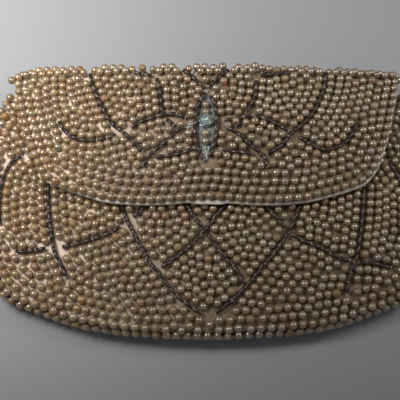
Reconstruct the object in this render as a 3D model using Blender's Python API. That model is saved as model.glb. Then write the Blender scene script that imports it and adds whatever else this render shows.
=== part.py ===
"""Beaded evening clutch, closed and lying on its back.

The bag is two domed panels sewn together round the sides and the bottom, a narrow spine along the top, and a
flap that folds over the front. Each panel is a stack: beads outside, then satin, a stiffener board and a
lining. Strings of bugle beads lie in channels between the pearls. Lengths are in metres. +X runs to the bag's
right, +Y to the top fold and +Z out of the front. The origin is on the surface under the middle of the bag.
"""

import math

import bpy
import numpy as np
from mathutils import Matrix, Vector

# Overall sizes of the closed bag
BAG_WIDTH = 0.228
BAG_HEIGHT = 0.1352
FLAP_WIDTH = 0.192
FLAP_DROP = 0.0696
MOUTH_DROP = 0.007

# Layers of every panel, from the beads inwards, and the gaps between them
BEAD = 0.0038
SATIN = 0.00035
BOARD = 0.0006
LINING = 0.00035
LAYER_GAP = 0.00025
CLEARANCE = 0.0003
FOLD_GAP = 0.00015

# How far the panels dome: the front and the flap fall towards the seam, and the back rises to it
FRONT_FALL = 0.005
BACK_RISE = 0.0025
FALL_POWER = 2.2
RISE_START_SHARE = 0.88
SEAM_GAP = 0.0003
FLAP_LIFT = 0.0008

# Rows of pearls on the front and the flap, sewn parallel to the rim. Each shows as a ridge, and each inset is
# that of a ridge's top
ROW_PITCH = 0.0043
ROW_RELIEF = 0.0015
FRONT_ROWS = 20
FRONT_ROW_INSET = 0.0038
FLAP_ROWS = 13
FLAP_ROW_INSET = 0.0019
FLAP_EDGE_FALL = 0.0019

# The front's turned-down rim, which carries the last row of pearls
RIM_ROW_INSET = 0.0012
RIM_ROW_FALL = 0.0027
RIM_WALL_FALL = 0.0050

# Rounding of the back's rim
RIM_TOP_INSET = 0.0050
RIM_SHOULDER_INSET = 0.0016
RIM_SHOULDER_FALL = 0.0007
RIM_EDGE_FALL = 0.0026

# Bugle beads, their thread and the channels that they lie in
BUGLE_LENGTH = 0.0045
BUGLE_RADIUS = 0.00085
BUGLE_SPACE = 0.0003
THREAD_RADIUS = 0.00035
CHANNEL_WIDTH = 0.0026
CHANNEL_FLOOR = 0.0006
JUNCTION_SPACE = 0.0018
CHANNEL_OVERRUN = 0.002
CHANNEL_STEP = 0.005

# Bindings
BINDING_RADIUS = 0.0011

# Press stud
SNAP_DROP_SHARE = 0.833
SOCKET_RADIUS = 0.005
SOCKET_NECK_RADIUS = 0.0034
SOCKET_SKIRT = 0.0010
BORE_RADIUS = 0.0019
BORE_DEPTH = 0.0020
SOCKET_TOP_FALL = 0.0004
STUD_RADIUS = 0.0015
STUD_LENGTH = 0.0020
STUD_PLATE_RADIUS = 0.0045
STUD_PLATE = 0.0005
SOCKET_ROOM = 0.0012

# Stone and its cup
STONE_RADIUS = 0.0030
STONE_TABLE_RADIUS = 0.0017
STONE_GIRDLE = 0.0018
STONE_HEIGHT = 0.0026
CUP_WALL = 0.0003
CUP_HEIGHT = 0.0014
STONE_POCKET_ROOM = 0.0005
STONE_PLACE_SHARE = (-0.007, 0.396)

# Slip pocket inside, on the back lining
POCKET_WIDTH = 0.090
POCKET_HEIGHT = 0.060
POCKET_MOUTH_DROP = 0.035
POCKET_SEAM = 0.003
POCKET_SLACK = 0.0005

# Counts
PATH_STEPS = 12
OUTLINE_SEGMENTS = 28
SPINE_SEGMENTS = 14
BINDING_SEGMENTS = 44
BUGLE_SIDES = 5
BINDING_SIDES = 6
ROUND_SIDES = 16
STONE_SIDES = 8
RING_SHARES = (0.3, 0.6, 0.88)
SHARP_ANGLE = math.radians(75)

# Outline of the right half, from the end of the fold to the middle of the bottom: the first number is a share
# of half the width, and the second a share of the drop from the fold
BODY_OUTLINE_SHARES = (
    (0.845, 0.000),
    (0.875, 0.022),
    (0.903, 0.050),
    (0.922, 0.085),
    (0.945, 0.130),
    (0.974, 0.206),
    (0.992, 0.305),
    (1.000, 0.420),
    (0.987, 0.550),
    (0.945, 0.680),
    (0.896, 0.775),
    (0.835, 0.848),
    (0.760, 0.886),
    (0.632, 0.926),
    (0.519, 0.958),
    (0.384, 0.980),
    (0.225, 0.993),
    (0.000, 1.000),
)
FLAP_OUTLINE_SHARES = (
    (1.003, 0.000),
    (0.992, 0.115),
    (0.962, 0.270),
    (0.926, 0.450),
    (0.885, 0.600),
    (0.840, 0.740),
    (0.780, 0.840),
    (0.690, 0.898),
    (0.600, 0.938),
    (0.500, 0.975),
    (0.400, 0.993),
    (0.300, 1.000),
    (0.200, 0.996),
    (0.100, 0.984),
    (0.000, 0.977),
)

# Lines of bugle beads on the flap, in shares of half its width and of its drop
FLAP_LINE_SHARES = {
    "flap_left_long_spoke": ((-0.610, 0.010), (-0.593, 0.083), (-0.551, 0.231), (-0.486, 0.404),
                             (-0.413, 0.494), (-0.364, 0.559), (-0.330, 0.617), (-0.284, 0.662)),
    "flap_right_long_spoke": ((0.616, 0.010), (0.606, 0.116), (0.569, 0.247), (0.523, 0.363),
                              (0.427, 0.493), (0.388, 0.555), (0.361, 0.606), (0.273, 0.662)),
    "flap_left_short_spoke": ((-0.258, 0.060), (-0.237, 0.196), (-0.225, 0.356)),
    "flap_right_short_spoke": ((0.257, 0.060), (0.242, 0.225), (0.178, 0.375)),
    "flap_left_top_arc": ((-0.385, 0.012), (-0.320, 0.026), (-0.258, 0.036)),
    "flap_right_top_arc": ((0.425, 0.012), (0.330, 0.030), (0.257, 0.036)),
    "flap_left_crown": ((-0.125, 0.010), (-0.080, 0.040), (-0.029, 0.116), (-0.001, 0.156)),
    "flap_right_crown": ((0.110, 0.010), (0.068, 0.052), (0.022, 0.105), (-0.001, 0.156)),
    "flap_left_almond_side": ((-0.001, 0.156), (-0.032, 0.245), (-0.056, 0.330), (-0.060, 0.470),
                              (-0.050, 0.600), (-0.005, 0.723)),
    "flap_right_almond_side": ((-0.001, 0.156), (0.032, 0.245), (0.048, 0.330), (0.048, 0.460),
                               (0.034, 0.590), (-0.005, 0.723)),
    "flap_left_outer_swag": ((-0.758, 0.371), (-0.709, 0.479), (-0.635, 0.543), (-0.545, 0.545),
                             (-0.445, 0.508), (-0.413, 0.494)),
    "flap_right_outer_swag": ((0.770, 0.384), (0.691, 0.561), (0.583, 0.620), (0.503, 0.565),
                              (0.427, 0.493)),
    "flap_left_inner_swag": ((-0.413, 0.494), (-0.334, 0.409), (-0.225, 0.356), (-0.166, 0.344),
                             (-0.085, 0.392)),
    "flap_right_inner_swag": ((0.427, 0.493), (0.339, 0.417), (0.249, 0.362), (0.178, 0.375),
                              (0.085, 0.400)),
    "flap_left_leaf": ((-0.100, 0.436), (-0.145, 0.473), (-0.214, 0.572), (-0.284, 0.662), (-0.324, 0.766)),
    "flap_right_leaf": ((0.088, 0.445), (0.141, 0.481), (0.219, 0.590), (0.273, 0.662), (0.305, 0.774)),
    "flap_left_leaf_link": ((-0.225, 0.356), (-0.178, 0.419), (-0.145, 0.473)),
    "flap_right_leaf_link": ((0.178, 0.375), (0.147, 0.434), (0.141, 0.481)),
    "flap_left_low_arc": ((-0.050, 0.600), (-0.114, 0.641), (-0.185, 0.668), (-0.276, 0.676)),
    "flap_right_low_arc": ((0.034, 0.600), (0.129, 0.637), (0.200, 0.645), (0.262, 0.668)),
}

# Lines of bugle beads on the front panel, in shares of half the bag's width and of the drop from the fold
FRONT_LINE_SHARES = {
    "front_left_side_curve": ((-0.778, 0.322), (-0.828, 0.341), (-0.863, 0.416), (-0.868, 0.514),
                              (-0.854, 0.603)),
    "front_right_side_curve": ((0.770, 0.340), (0.812, 0.410), (0.838, 0.500), (0.830, 0.610)),
    "front_left_upright": ((-0.667, 0.424), (-0.659, 0.526), (-0.648, 0.581), (-0.623, 0.686),
                           (-0.586, 0.744), (-0.562, 0.800)),
    "front_right_upright": ((0.660, 0.444), (0.641, 0.568), (0.610, 0.702), (0.593, 0.733), (0.568, 0.792),
                            (0.550, 0.849)),
    "front_left_outer_swag": ((-0.795, 0.690), (-0.733, 0.697), (-0.672, 0.685), (-0.623, 0.686)),
    "front_right_outer_swag": ((0.745, 0.755), (0.686, 0.741), (0.593, 0.733)),
    "front_left_inner_swag": ((-0.623, 0.686), (-0.558, 0.675), (-0.465, 0.652), (-0.389, 0.624),
                              (-0.329, 0.583)),
    "front_right_inner_swag": ((0.593, 0.733), (0.519, 0.714), (0.457, 0.678), (0.394, 0.660),
                               (0.335, 0.624)),
    "front_left_short_swag": ((-0.329, 0.583), (-0.287, 0.557), (-0.236, 0.510)),
    "front_right_short_swag": ((0.335, 0.624), (0.303, 0.591), (0.235, 0.520)),
    "front_left_arm": ((-0.362, 0.500), (-0.342, 0.556), (-0.329, 0.583), (-0.286, 0.650), (-0.240, 0.727),
                       (-0.201, 0.765), (-0.124, 0.850), (-0.038, 0.907), (0.006, 0.927)),
    "front_right_arm": ((0.394, 0.505), (0.358, 0.577), (0.335, 0.624), (0.278, 0.694), (0.216, 0.758),
                        (0.130, 0.844), (0.066, 0.893), (0.006, 0.927)),
    "front_rising_diagonal": ((-0.201, 0.765), (-0.131, 0.720), (-0.067, 0.676), (-0.010, 0.618),
                              (0.080, 0.515)),
    "front_falling_diagonal_top": ((-0.090, 0.510), (-0.062, 0.560), (-0.010, 0.618)),
    "front_falling_diagonal_foot": ((-0.010, 0.618), (0.062, 0.708), (0.120, 0.767), (0.146, 0.830)),
}

# The lines whose start, and those whose end, is free. Every other end stops short of the line that it meets
FREE_START = {"flap_left_long_spoke", "flap_right_long_spoke", "flap_left_short_spoke",
              "flap_right_short_spoke", "flap_left_top_arc", "flap_right_top_arc", "flap_left_crown",
              "flap_right_crown", "flap_left_outer_swag", "flap_right_outer_swag", "flap_left_leaf",
              "flap_right_leaf", "front_left_side_curve", "front_right_side_curve", "front_left_upright",
              "front_right_upright", "front_left_outer_swag", "front_right_outer_swag", "front_left_arm",
              "front_right_arm", "front_falling_diagonal_top"}
FREE_END = {"flap_left_leaf", "flap_right_leaf", "front_left_side_curve", "front_right_side_curve",
            "front_left_upright", "front_right_upright", "front_left_short_swag", "front_right_short_swag",
            "front_rising_diagonal", "flap_left_inner_swag", "flap_right_inner_swag"}

# Places that follow from the sizes
HALF_WIDTH = BAG_WIDTH / 2
FOLD_Y = BAG_HEIGHT / 2 - BEAD - LAYER_GAP - SATIN / 2
BODY_DROP = FOLD_Y + BAG_HEIGHT / 2
SNAP_Y = FOLD_Y - SNAP_DROP_SHARE * FLAP_DROP
MOUTH_Y = FOLD_Y - MOUTH_DROP
POUCH_DEPTH = FRONT_FALL + BACK_RISE + SEAM_GAP
FABRIC = SATIN + BOARD + LINING + 3 * LAYER_GAP

BACK_SATIN_Z = BEAD + LAYER_GAP
BACK_BOARD_Z = BACK_SATIN_Z + SATIN + LAYER_GAP
BACK_LINING_Z = BACK_BOARD_Z + BOARD + LAYER_GAP
FRONT_LINING_Z = BACK_LINING_Z + LINING + POUCH_DEPTH
FRONT_BOARD_Z = FRONT_LINING_Z + LINING + LAYER_GAP
FRONT_SATIN_Z = FRONT_BOARD_Z + BOARD + LAYER_GAP
FRONT_BEAD_Z = FRONT_SATIN_Z + SATIN + LAYER_GAP
FLAP_LINING_Z = FRONT_BEAD_Z + BEAD + FLAP_LIFT
FLAP_BOARD_Z = FLAP_LINING_Z + LINING + LAYER_GAP
FLAP_SATIN_Z = FLAP_BOARD_Z + BOARD + LAYER_GAP
FLAP_BEAD_Z = FLAP_SATIN_Z + SATIN + LAYER_GAP
SPINE_AXIS_Z = BACK_SATIN_Z + SATIN / 2
FLAP_AXIS_Z = FLAP_SATIN_Z + SATIN / 2
FABRIC_INSET = BEAD + CLEARANCE


def clear_scene():
    for obj in list(bpy.data.objects):
        bpy.data.objects.remove(obj, do_unlink=True)


def smooth_path(points):
    """A smooth curve through the points: each span is a cubic whose end slopes follow its neighbours."""
    points = np.asarray(points, float)
    before = np.vstack([2 * points[0] - points[1], points, 2 * points[-1] - points[-2]])
    t = np.linspace(0, 1, PATH_STEPS, endpoint=False)[:, None]
    spans = []
    for a, b, c, d in zip(before, before[1:], before[2:], before[3:]):
        bend = 2 * a - 5 * b + 4 * c - d
        twist = 3 * b - a - 3 * c + d
        spans.append(0.5 * (2 * b + (c - a) * t + bend * t**2 + twist * t**3))
    return np.vstack([*spans, points[-1:]])


def lengths_along(path):
    steps = np.linalg.norm(np.diff(path, axis=0), axis=1)
    return np.concatenate([[0.0], np.cumsum(steps)])


def points_at(path, places):
    """The points of a path at the given lengths along it, running straight on past its ends."""
    along = lengths_along(path)
    found = np.column_stack([np.interp(places, along, path[:, k]) for k in range(path.shape[1])])
    first = (path[1] - path[0]) / along[1]
    last = (path[-1] - path[-2]) / (along[-1] - along[-2])
    short = np.minimum(places, 0.0)[:, None]
    past = np.maximum(places - along[-1], 0.0)[:, None]
    return found + short * first + past * last


def evenly(path, segments):
    return points_at(path, np.linspace(0, lengths_along(path)[-1], segments + 1))


def whole_outline(shares, half_width, drop):
    """Both halves of an outline, from the right end of the fold down and round to the left end."""
    half = np.array(shares) * (half_width, -drop) + (0, FOLD_Y)
    both = np.vstack([half, half[-2::-1] * (-1, 1)])
    return smooth_path(both)


BODY_OUTLINE = whole_outline(BODY_OUTLINE_SHARES, HALF_WIDTH, BODY_DROP)
FLAP_OUTLINE = whole_outline(FLAP_OUTLINE_SHARES, FLAP_WIDTH / 2, FLAP_DROP)
FOLD_HALF = BODY_OUTLINE[0, 0]


def share_out(x, y):
    """How far a place lies from the middle of the fold towards the outline, as a share."""
    across, down = np.asarray(x), FOLD_Y - np.asarray(y)
    angle = np.arctan2(down, across)
    outline_angle = np.arctan2(FOLD_Y - BODY_OUTLINE[:, 1], BODY_OUTLINE[:, 0])
    outline_reach = np.hypot(BODY_OUTLINE[:, 0], FOLD_Y - BODY_OUTLINE[:, 1])
    return np.hypot(across, down) / np.interp(angle, outline_angle, outline_reach)


def fall(x, y):
    """How far the front and the flap lie below their level at the middle of the fold."""
    return FRONT_FALL * share_out(x, y) ** FALL_POWER


def rise(x, y):
    """How far the back lies above its flat middle."""
    past = np.maximum(share_out(x, y) - RISE_START_SHARE, 0) / (1 - RISE_START_SHARE)
    return BACK_RISE * past**2


def plain_material(name, colour, roughness, metallic=0.0):
    found = bpy.data.materials.get(name)
    if found:
        return found
    made = bpy.data.materials.new(name)
    made.use_nodes = True
    shader = made.node_tree.nodes["Principled BSDF"]
    shader.inputs["Base Color"].default_value = (*colour, 1.0)
    shader.inputs["Roughness"].default_value = roughness
    shader.inputs["Metallic"].default_value = metallic
    return made


def finishes():
    return {
        "pearl": plain_material("champagne_pearl", (0.40, 0.27, 0.17), 0.28, 0.3),
        "bugle": plain_material("gunmetal_bugle", (0.035, 0.026, 0.030), 0.18, 0.5),
        "satin": plain_material("cream_satin", (0.72, 0.60, 0.46), 0.45),
        "lining": plain_material("ivory_lining", (0.74, 0.66, 0.54), 0.50),
        "board": plain_material("grey_buckram", (0.50, 0.47, 0.42), 0.90),
        "metal": plain_material("nickel", (0.62, 0.61, 0.58), 0.25, 1.0),
        "stone": plain_material("clear_stone", (0.85, 0.88, 0.88), 0.05),
    }


def add_object(name, vertices, faces, material, smooth=False):
    mesh = bpy.data.meshes.new(name)
    mesh.from_pydata([tuple(v) for v in vertices], [], [tuple(int(i) for i in f) for f in faces])
    mesh.update()
    if smooth:
        mesh.shade_smooth()
        mesh.set_sharp_from_angle(angle=SHARP_ANGLE)
    mesh.materials.append(material)
    obj = bpy.data.objects.new(name, mesh)
    bpy.context.scene.collection.objects.link(obj)
    return obj


def face_outwards(vertices, faces):
    """The faces turned so that a closed shape made of them has a positive volume."""
    volume = 0.0
    for face in faces:
        first = vertices[face[0]]
        for a, b in zip(face[1:], face[2:]):
            volume += float(np.dot(first, np.cross(vertices[a], vertices[b])))
    return faces if volume > 0 else [tuple(reversed(face)) for face in faces]


def fan_panel(name, middle, outline, rows, material):
    """A closed panel whose rings follow an outline and shrink towards the middle of its straight top edge.

    Each row is (share, inset, height): the ring's place as a share of the way to the outline less an inset,
    and the function of x and y that gives its height. The rows run from the middle of the upper face to that
    of the lower.
    """
    out = outline - middle
    reach = np.linalg.norm(out, axis=1)
    towards = out / reach[:, None]
    vertices, rings = [], []
    for share, inset, height in rows:
        if share == 0:
            places = middle[None, :]
        else:
            places = middle + towards * (share * reach - inset)[:, None]
        rings.append(range(len(vertices), len(vertices) + len(places)))
        vertices += [(x, y, z) for (x, y), z in zip(places, height(places[:, 0], places[:, 1]))]
    vertices = np.array(vertices)
    faces = []
    for upper, lower in zip(rings, rings[1:]):
        for k in range(len(outline) - 1):
            if len(upper) > 1 and len(lower) > 1:
                faces.append((upper[k], lower[k], lower[k + 1]))
                faces.append((upper[k], lower[k + 1], upper[k + 1]))
            elif len(upper) == 1:
                faces.append((upper[0], lower[k], lower[k + 1]))
            else:
                faces.append((upper[k], lower[0], upper[k + 1]))
    right = [ring[0] for ring in rings]
    left = [ring[-1] for ring in rings[1:-1]]
    faces.append(tuple(left + right[::-1]) if len(left) else tuple(right))
    return add_object(name, vertices, face_outwards(vertices, faces), material)


def level(base, change):
    """A height function: a level plus or less a dome."""
    return lambda x, y: base + change(x, y)


def downwards(x, y):
    return -fall(x, y)


def pearl_rows(top, first_inset, count):
    """The ridges of parallel pearl rows and the valleys inside them, from the middle of a panel outwards."""
    rows = [(0.0, 0.0, level(top - ROW_RELIEF, downwards))]
    for k in reversed(range(count)):
        inset = first_inset + k * ROW_PITCH
        rows.append((1.0, inset + ROW_PITCH / 2, level(top - ROW_RELIEF, downwards)))
        rows.append((1.0, inset, level(top, downwards)))
    return rows


def sheet_rows(low, high, dome, inset):
    """The rows of a thin sheet between two levels."""
    upper = [(share, 0.0, level(high, dome)) for share in (0.0, *RING_SHARES)]
    lower = [(share, 0.0, level(low, dome)) for share in (*reversed(RING_SHARES), 0.0)]
    return [*upper, (1.0, inset, level(high, dome)), (1.0, inset, level(low, dome)), *lower]


def outline_below(y):
    """The body's outline below a line across the bag, evenly divided."""
    low = BODY_OUTLINE[BODY_OUTLINE[:, 1] < y]
    right = BODY_OUTLINE[: len(BODY_OUTLINE) // 2 + 1]
    end = np.interp(FOLD_Y - y, FOLD_Y - right[:, 1], right[:, 0])
    return evenly(np.vstack([(end, y), low, (-end, y)]), OUTLINE_SEGMENTS)


def off_fold(outline, back_off):
    """A panel's outline with only its two ends moved off the fold line."""
    moved = outline.copy()
    moved[0] -= back_off
    moved[-1] -= back_off
    return moved


def tube_along(name, centres, radii, sides, material):
    """A closed tube along a path, with its own radius at each point of the path."""
    ahead = np.gradient(centres, axis=0)
    ahead /= np.linalg.norm(ahead, axis=1)[:, None]
    side = np.cross(ahead, (0.0, 0.0, 1.0))
    side /= np.linalg.norm(side, axis=1)[:, None]
    up = np.cross(side, ahead)
    turn = np.arange(sides) * math.tau / sides + math.tau / 4
    rings = (centres[:, None, :]
             + radii[:, None, None] * (np.cos(turn)[None, :, None] * side[:, None, :]
                                       + np.sin(turn)[None, :, None] * up[:, None, :]))
    vertices = rings.reshape(-1, 3)
    faces = [tuple(range(sides)), tuple(range(len(vertices) - sides, len(vertices)))[::-1]]
    for ring in range(len(centres) - 1):
        for k in range(sides):
            a, b = ring * sides + k, ring * sides + (k + 1) % sides
            faces.append((a, a + sides, b + sides, b))
    return add_object(name, vertices, face_outwards(vertices, faces), material, smooth=True)


def turned(name, centre, profile, sides, material, smooth=True):
    """A closed turned piece: the profile's points are (radius, height), from one end of its axis on."""
    vertices, rings = [], []
    turn = np.arange(sides) * math.tau / sides
    for radius, height in profile:
        count = 1 if radius == 0 else sides
        rings.append(range(len(vertices), len(vertices) + count))
        for a in turn[:count]:
            across = radius * math.cos(a)
            along = radius * math.sin(a)
            vertices.append((centre[0] + across, centre[1] + along, centre[2] + height))
    vertices = np.array(vertices)
    faces = []
    for one, two in zip(rings, rings[1:]):
        for k in range(sides):
            n = (k + 1) % sides
            if len(one) == 1:
                faces.append((one[0], two[k], two[n]))
            elif len(two) == 1:
                faces.append((one[n], one[k], two[0]))
            else:
                faces.append((one[k], two[k], two[n], one[n]))
    return add_object(name, vertices, face_outwards(vertices, faces), material, smooth)


def block(name, low, high, material):
    corners = [(x, y, z) for x in (low[0], high[0]) for y in (low[1], high[1]) for z in (low[2], high[2])]
    faces = [(0, 1, 3, 2), (4, 6, 7, 5), (0, 4, 5, 1), (2, 3, 7, 6), (0, 2, 6, 4), (1, 5, 7, 3)]
    return add_object(name, corners, face_outwards(np.array(corners), faces), material)


def as_cutter(obj):
    obj.hide_render = True
    obj.display_type = "WIRE"
    return obj


def cut_with(obj, cutters):
    """Cuts a group of shapes out of a piece."""
    group = bpy.data.collections.new(obj.name + "_cutters")
    bpy.context.scene.collection.children.link(group)
    for cutter in cutters:
        bpy.context.scene.collection.objects.unlink(as_cutter(cutter))
        group.objects.link(cutter)
    group.hide_render = True
    cut = obj.modifiers.new("channels", "BOOLEAN")
    cut.operation = "DIFFERENCE"
    cut.operand_type = "COLLECTION"
    cut.collection = group
    cut.solver = "EXACT"


def line_path(shares, half_width, drop):
    """A bugle line's smooth path, seen from above."""
    return smooth_path(np.array(shares) * (half_width, -drop) + (0, FOLD_Y))


def channel_cutter(name, path, floor, top, material):
    """A ribbon-shaped cutter along a bugle line, from the channel's floor to above the beads."""
    length = lengths_along(path)[-1]
    steps = max(2, round(length / CHANNEL_STEP))
    places = np.linspace(-JUNCTION_SPACE / 2, length + JUNCTION_SPACE / 2, steps + 1)
    middle = points_at(path, places)
    ahead = np.gradient(middle, axis=0)
    ahead /= np.linalg.norm(ahead, axis=1)[:, None]
    side = np.column_stack([-ahead[:, 1], ahead[:, 0]]) * CHANNEL_WIDTH / 2
    vertices = []
    for edge in (middle - side, middle + side):
        for z in (floor, top):
            vertices.append(np.column_stack([edge, z - fall(edge[:, 0], edge[:, 1])]))
    count = len(middle)
    vertices = np.vstack(vertices)
    low_right, top_right, low_left, top_left = (np.arange(count) + count * k for k in range(4))
    around = (low_right, top_right, top_left, low_left, low_right)
    faces = []
    for one, two in zip(around, around[1:]):
        for k in range(count - 1):
            faces.append((one[k], one[k + 1], two[k + 1]))
            faces.append((one[k], two[k + 1], two[k]))
    faces.append((low_right[0], top_right[0], top_left[0], low_left[0]))
    faces.append((low_left[-1], top_left[-1], top_right[-1], low_right[-1]))
    return add_object(name, vertices, face_outwards(vertices, faces), material)


def bugle_string(name, path, floor, material):
    """Bugle beads end to end on their thread, lying along a channel."""
    start = 0.0 if name in FREE_START else JUNCTION_SPACE
    end = lengths_along(path)[-1] - (0.0 if name in FREE_END else JUNCTION_SPACE)
    pitch = BUGLE_LENGTH + BUGLE_SPACE
    count = max(1, int((end - start + BUGLE_SPACE) // pitch))
    slack = (end - start + BUGLE_SPACE - count * pitch) / 2
    starts = start + slack + np.arange(count) * pitch
    places, radii = [], []
    for k, s in enumerate(starts):
        places += [s, s + BUGLE_LENGTH]
        radii += [BUGLE_RADIUS, BUGLE_RADIUS]
        if k < count - 1:
            places.append(s + BUGLE_LENGTH + BUGLE_SPACE / 2)
            radii.append(THREAD_RADIUS)
    flat = points_at(path, np.array(places))
    z = floor + CLEARANCE + BUGLE_RADIUS - fall(flat[:, 0], flat[:, 1])
    return tube_along(name, np.column_stack([flat, z]), np.array(radii), BUGLE_SIDES, material)


def bugle_web(line_shares, half_width, drop, bead_low, finish):
    """The strings of one panel and the cutters of their channels."""
    floor = bead_low + CHANNEL_FLOOR
    top = bead_low + BEAD + CHANNEL_OVERRUN
    strings, cutters = [], []
    for name, shares in line_shares.items():
        path = line_path(shares, half_width, drop)
        strings.append(bugle_string(name, path, floor, finish["bugle"]))
        cutters.append(channel_cutter(name + "_channel", path, floor, top, finish["pearl"]))
    return strings, cutters


def back_panel(finish):
    """The back: a bead panel that turns up at the rim to the seam, and three layers inside it."""
    middle = np.array([0.0, FOLD_Y])
    outline = evenly(BODY_OUTLINE, OUTLINE_SEGMENTS)
    seam = BACK_LINING_Z + LINING
    beads = [
        (0.0, 0.0, level(BEAD, rise)),
        *[(share, 0.0, level(BEAD, rise)) for share in RING_SHARES],
        (1.0, BEAD, level(BEAD, rise)),
        (1.0, BEAD, level(seam, rise)),
        (1.0, 0.0, level(seam, rise)),
        (1.0, 0.0, level(RIM_EDGE_FALL, rise)),
        (1.0, RIM_SHOULDER_INSET, level(RIM_SHOULDER_FALL, rise)),
        (1.0, RIM_TOP_INSET, level(0.0, rise)),
        *[(share, 0.0, level(0.0, rise)) for share in reversed(RING_SHARES)],
        (0.0, 0.0, level(0.0, rise)),
    ]
    edge = np.array([0.0, FOLD_GAP])
    pieces = [fan_panel("back_bead_panel", middle - edge, off_fold(outline, edge), beads, finish["pearl"])]
    for name, low, thick, key in (
        ("back_satin", BACK_SATIN_Z, SATIN, "satin"),
        ("back_stiffener", BACK_BOARD_Z, BOARD, "board"),
        ("back_lining", BACK_LINING_Z, LINING, "lining"),
    ):
        # An inner layer stops short of the fold by its own depth, so that the spine's layers clear it
        back_off = np.array([0.0, low + thick - BACK_SATIN_Z - SATIN / 2 + LAYER_GAP])
        rows = sheet_rows(low, low + thick, rise, FABRIC_INSET)
        pieces.append(fan_panel(name, middle - back_off, off_fold(outline, back_off), rows, finish[key]))
    return pieces


def front_panel(finish):
    """The front: a bead panel with channels that turns down at the rim to the seam, over three layers."""
    middle = np.array([0.0, MOUTH_Y])
    outline = outline_below(MOUTH_Y)
    top = FRONT_BEAD_Z + BEAD
    beads = [
        *pearl_rows(top, FRONT_ROW_INSET, FRONT_ROWS),
        (1.0, RIM_ROW_INSET, level(top - RIM_ROW_FALL, downwards)),
        (1.0, 0.0, level(top - RIM_WALL_FALL, downwards)),
        (1.0, 0.0, level(FRONT_LINING_Z, downwards)),
        (1.0, BEAD, level(FRONT_LINING_Z, downwards)),
        (1.0, BEAD, level(FRONT_BEAD_Z, downwards)),
        *[(share, 0.0, level(FRONT_BEAD_Z, downwards)) for share in reversed(RING_SHARES)],
        (0.0, 0.0, level(FRONT_BEAD_Z, downwards)),
    ]
    panel = fan_panel("front_bead_panel", middle, outline, beads, finish["pearl"])
    strings, cutters = bugle_web(FRONT_LINE_SHARES, HALF_WIDTH, BODY_DROP, FRONT_BEAD_Z, finish)
    low = FRONT_BEAD_Z - CHANNEL_OVERRUN
    high = FRONT_BEAD_Z + BEAD + CHANNEL_OVERRUN
    room = SOCKET_RADIUS + SOCKET_ROOM
    clearing = [(0.0, low), (room, low), (room, high), (0.0, high)]
    cutters.append(turned("snap_clearing", (0.0, SNAP_Y, 0.0), clearing, ROUND_SIDES, finish["pearl"]))
    cut_with(panel, cutters)
    pieces = [panel, *strings]
    for name, level_z, thick, key in (
        ("front_lining", FRONT_LINING_Z, LINING, "lining"),
        ("front_stiffener", FRONT_BOARD_Z, BOARD, "board"),
        ("front_satin", FRONT_SATIN_Z, SATIN, "satin"),
    ):
        rows = sheet_rows(level_z, level_z + thick, downwards, FABRIC_INSET)
        pieces.append(fan_panel(name, middle, outline, rows, finish[key]))
    return pieces


def mouth_binding(finish):
    """A satin binding along the mouth edge of the front panel."""
    half = FOLD_HALF - FABRIC_INSET
    x = np.linspace(half, -half, SPINE_SEGMENTS + 1)
    y = np.full_like(x, MOUTH_Y + CLEARANCE + BINDING_RADIUS)
    z = FRONT_LINING_Z + FABRIC / 2 - fall(x, y)
    radii = np.full_like(x, BINDING_RADIUS)
    return tube_along("mouth_binding", np.column_stack([x, y, z]), radii, BINDING_SIDES, finish["satin"])


def slip_pocket(finish):
    """A flat pocket sewn to the back lining on three sides, with its mouth towards the fold."""
    floor = BACK_LINING_Z + LINING + LAYER_GAP
    top_y = FOLD_Y - POCKET_MOUTH_DROP
    low = (-POCKET_WIDTH / 2, top_y - POCKET_HEIGHT, floor)
    high = (POCKET_WIDTH / 2, top_y, floor + POCKET_SLACK + LINING)
    pocket = block("slip_pocket", low, high, finish["lining"])
    inside_low = (low[0] + POCKET_SEAM, low[1] + POCKET_SEAM, floor - CHANNEL_OVERRUN)
    inside_high = (high[0] - POCKET_SEAM, high[1] + CHANNEL_OVERRUN, floor + POCKET_SLACK)
    cut_with(pocket, [block("slip_pocket_inside", inside_low, inside_high, finish["lining"])])
    return pocket


def spine_strip(name, inner_y, outer_y, shorten, finish):
    """An upright strip of the spine, between the back's fold line and the flap's."""
    half = FOLD_HALF - FABRIC_INSET
    x = np.linspace(-half, half, SPINE_SEGMENTS + 1)
    fold = np.full_like(x, FOLD_Y)
    low = SPINE_AXIS_Z + rise(x, fold) + shorten
    high = FLAP_AXIS_Z - fall(x, fold) - shorten
    vertices = []
    for y, z in ((inner_y, low), (outer_y, low), (outer_y, high), (inner_y, high)):
        vertices.append(np.column_stack([x, np.full_like(x, y), z]))
    vertices = np.vstack(vertices)
    count = len(x)
    faces = [tuple(count * k for k in range(4)), tuple(count * k + count - 1 for k in (3, 2, 1, 0))]
    for edge in range(4):
        for k in range(count - 1):
            a, b = edge * count + k, (edge + 1) % 4 * count + k
            faces.append((a, a + 1, b + 1))
            faces.append((a, b + 1, b))
    return add_object(name, vertices, face_outwards(vertices, faces), finish)


def spine(finish):
    """The spine's layers, beads outside and lining inside. Each is mitred to the panels' layers."""
    satin_in = FOLD_Y - SATIN / 2
    satin_out = FOLD_Y + SATIN / 2
    bead_in = satin_out + LAYER_GAP
    board_out = satin_in - LAYER_GAP
    lining_out = board_out - BOARD - LAYER_GAP
    board_depth = FOLD_Y - board_out + BOARD
    lining_depth = FOLD_Y - lining_out + LINING
    board_in = board_out - BOARD
    lining_in = lining_out - LINING
    return [
        spine_strip("spine_bead_strip", bead_in, bead_in + BEAD, FOLD_GAP, finish["pearl"]),
        spine_strip("spine_satin", satin_in, satin_out, LAYER_GAP, finish["satin"]),
        spine_strip("spine_stiffener", board_in, board_out, board_depth + LAYER_GAP, finish["board"]),
        spine_strip("spine_lining", lining_in, lining_out, lining_depth + LAYER_GAP, finish["lining"]),
    ]


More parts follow.
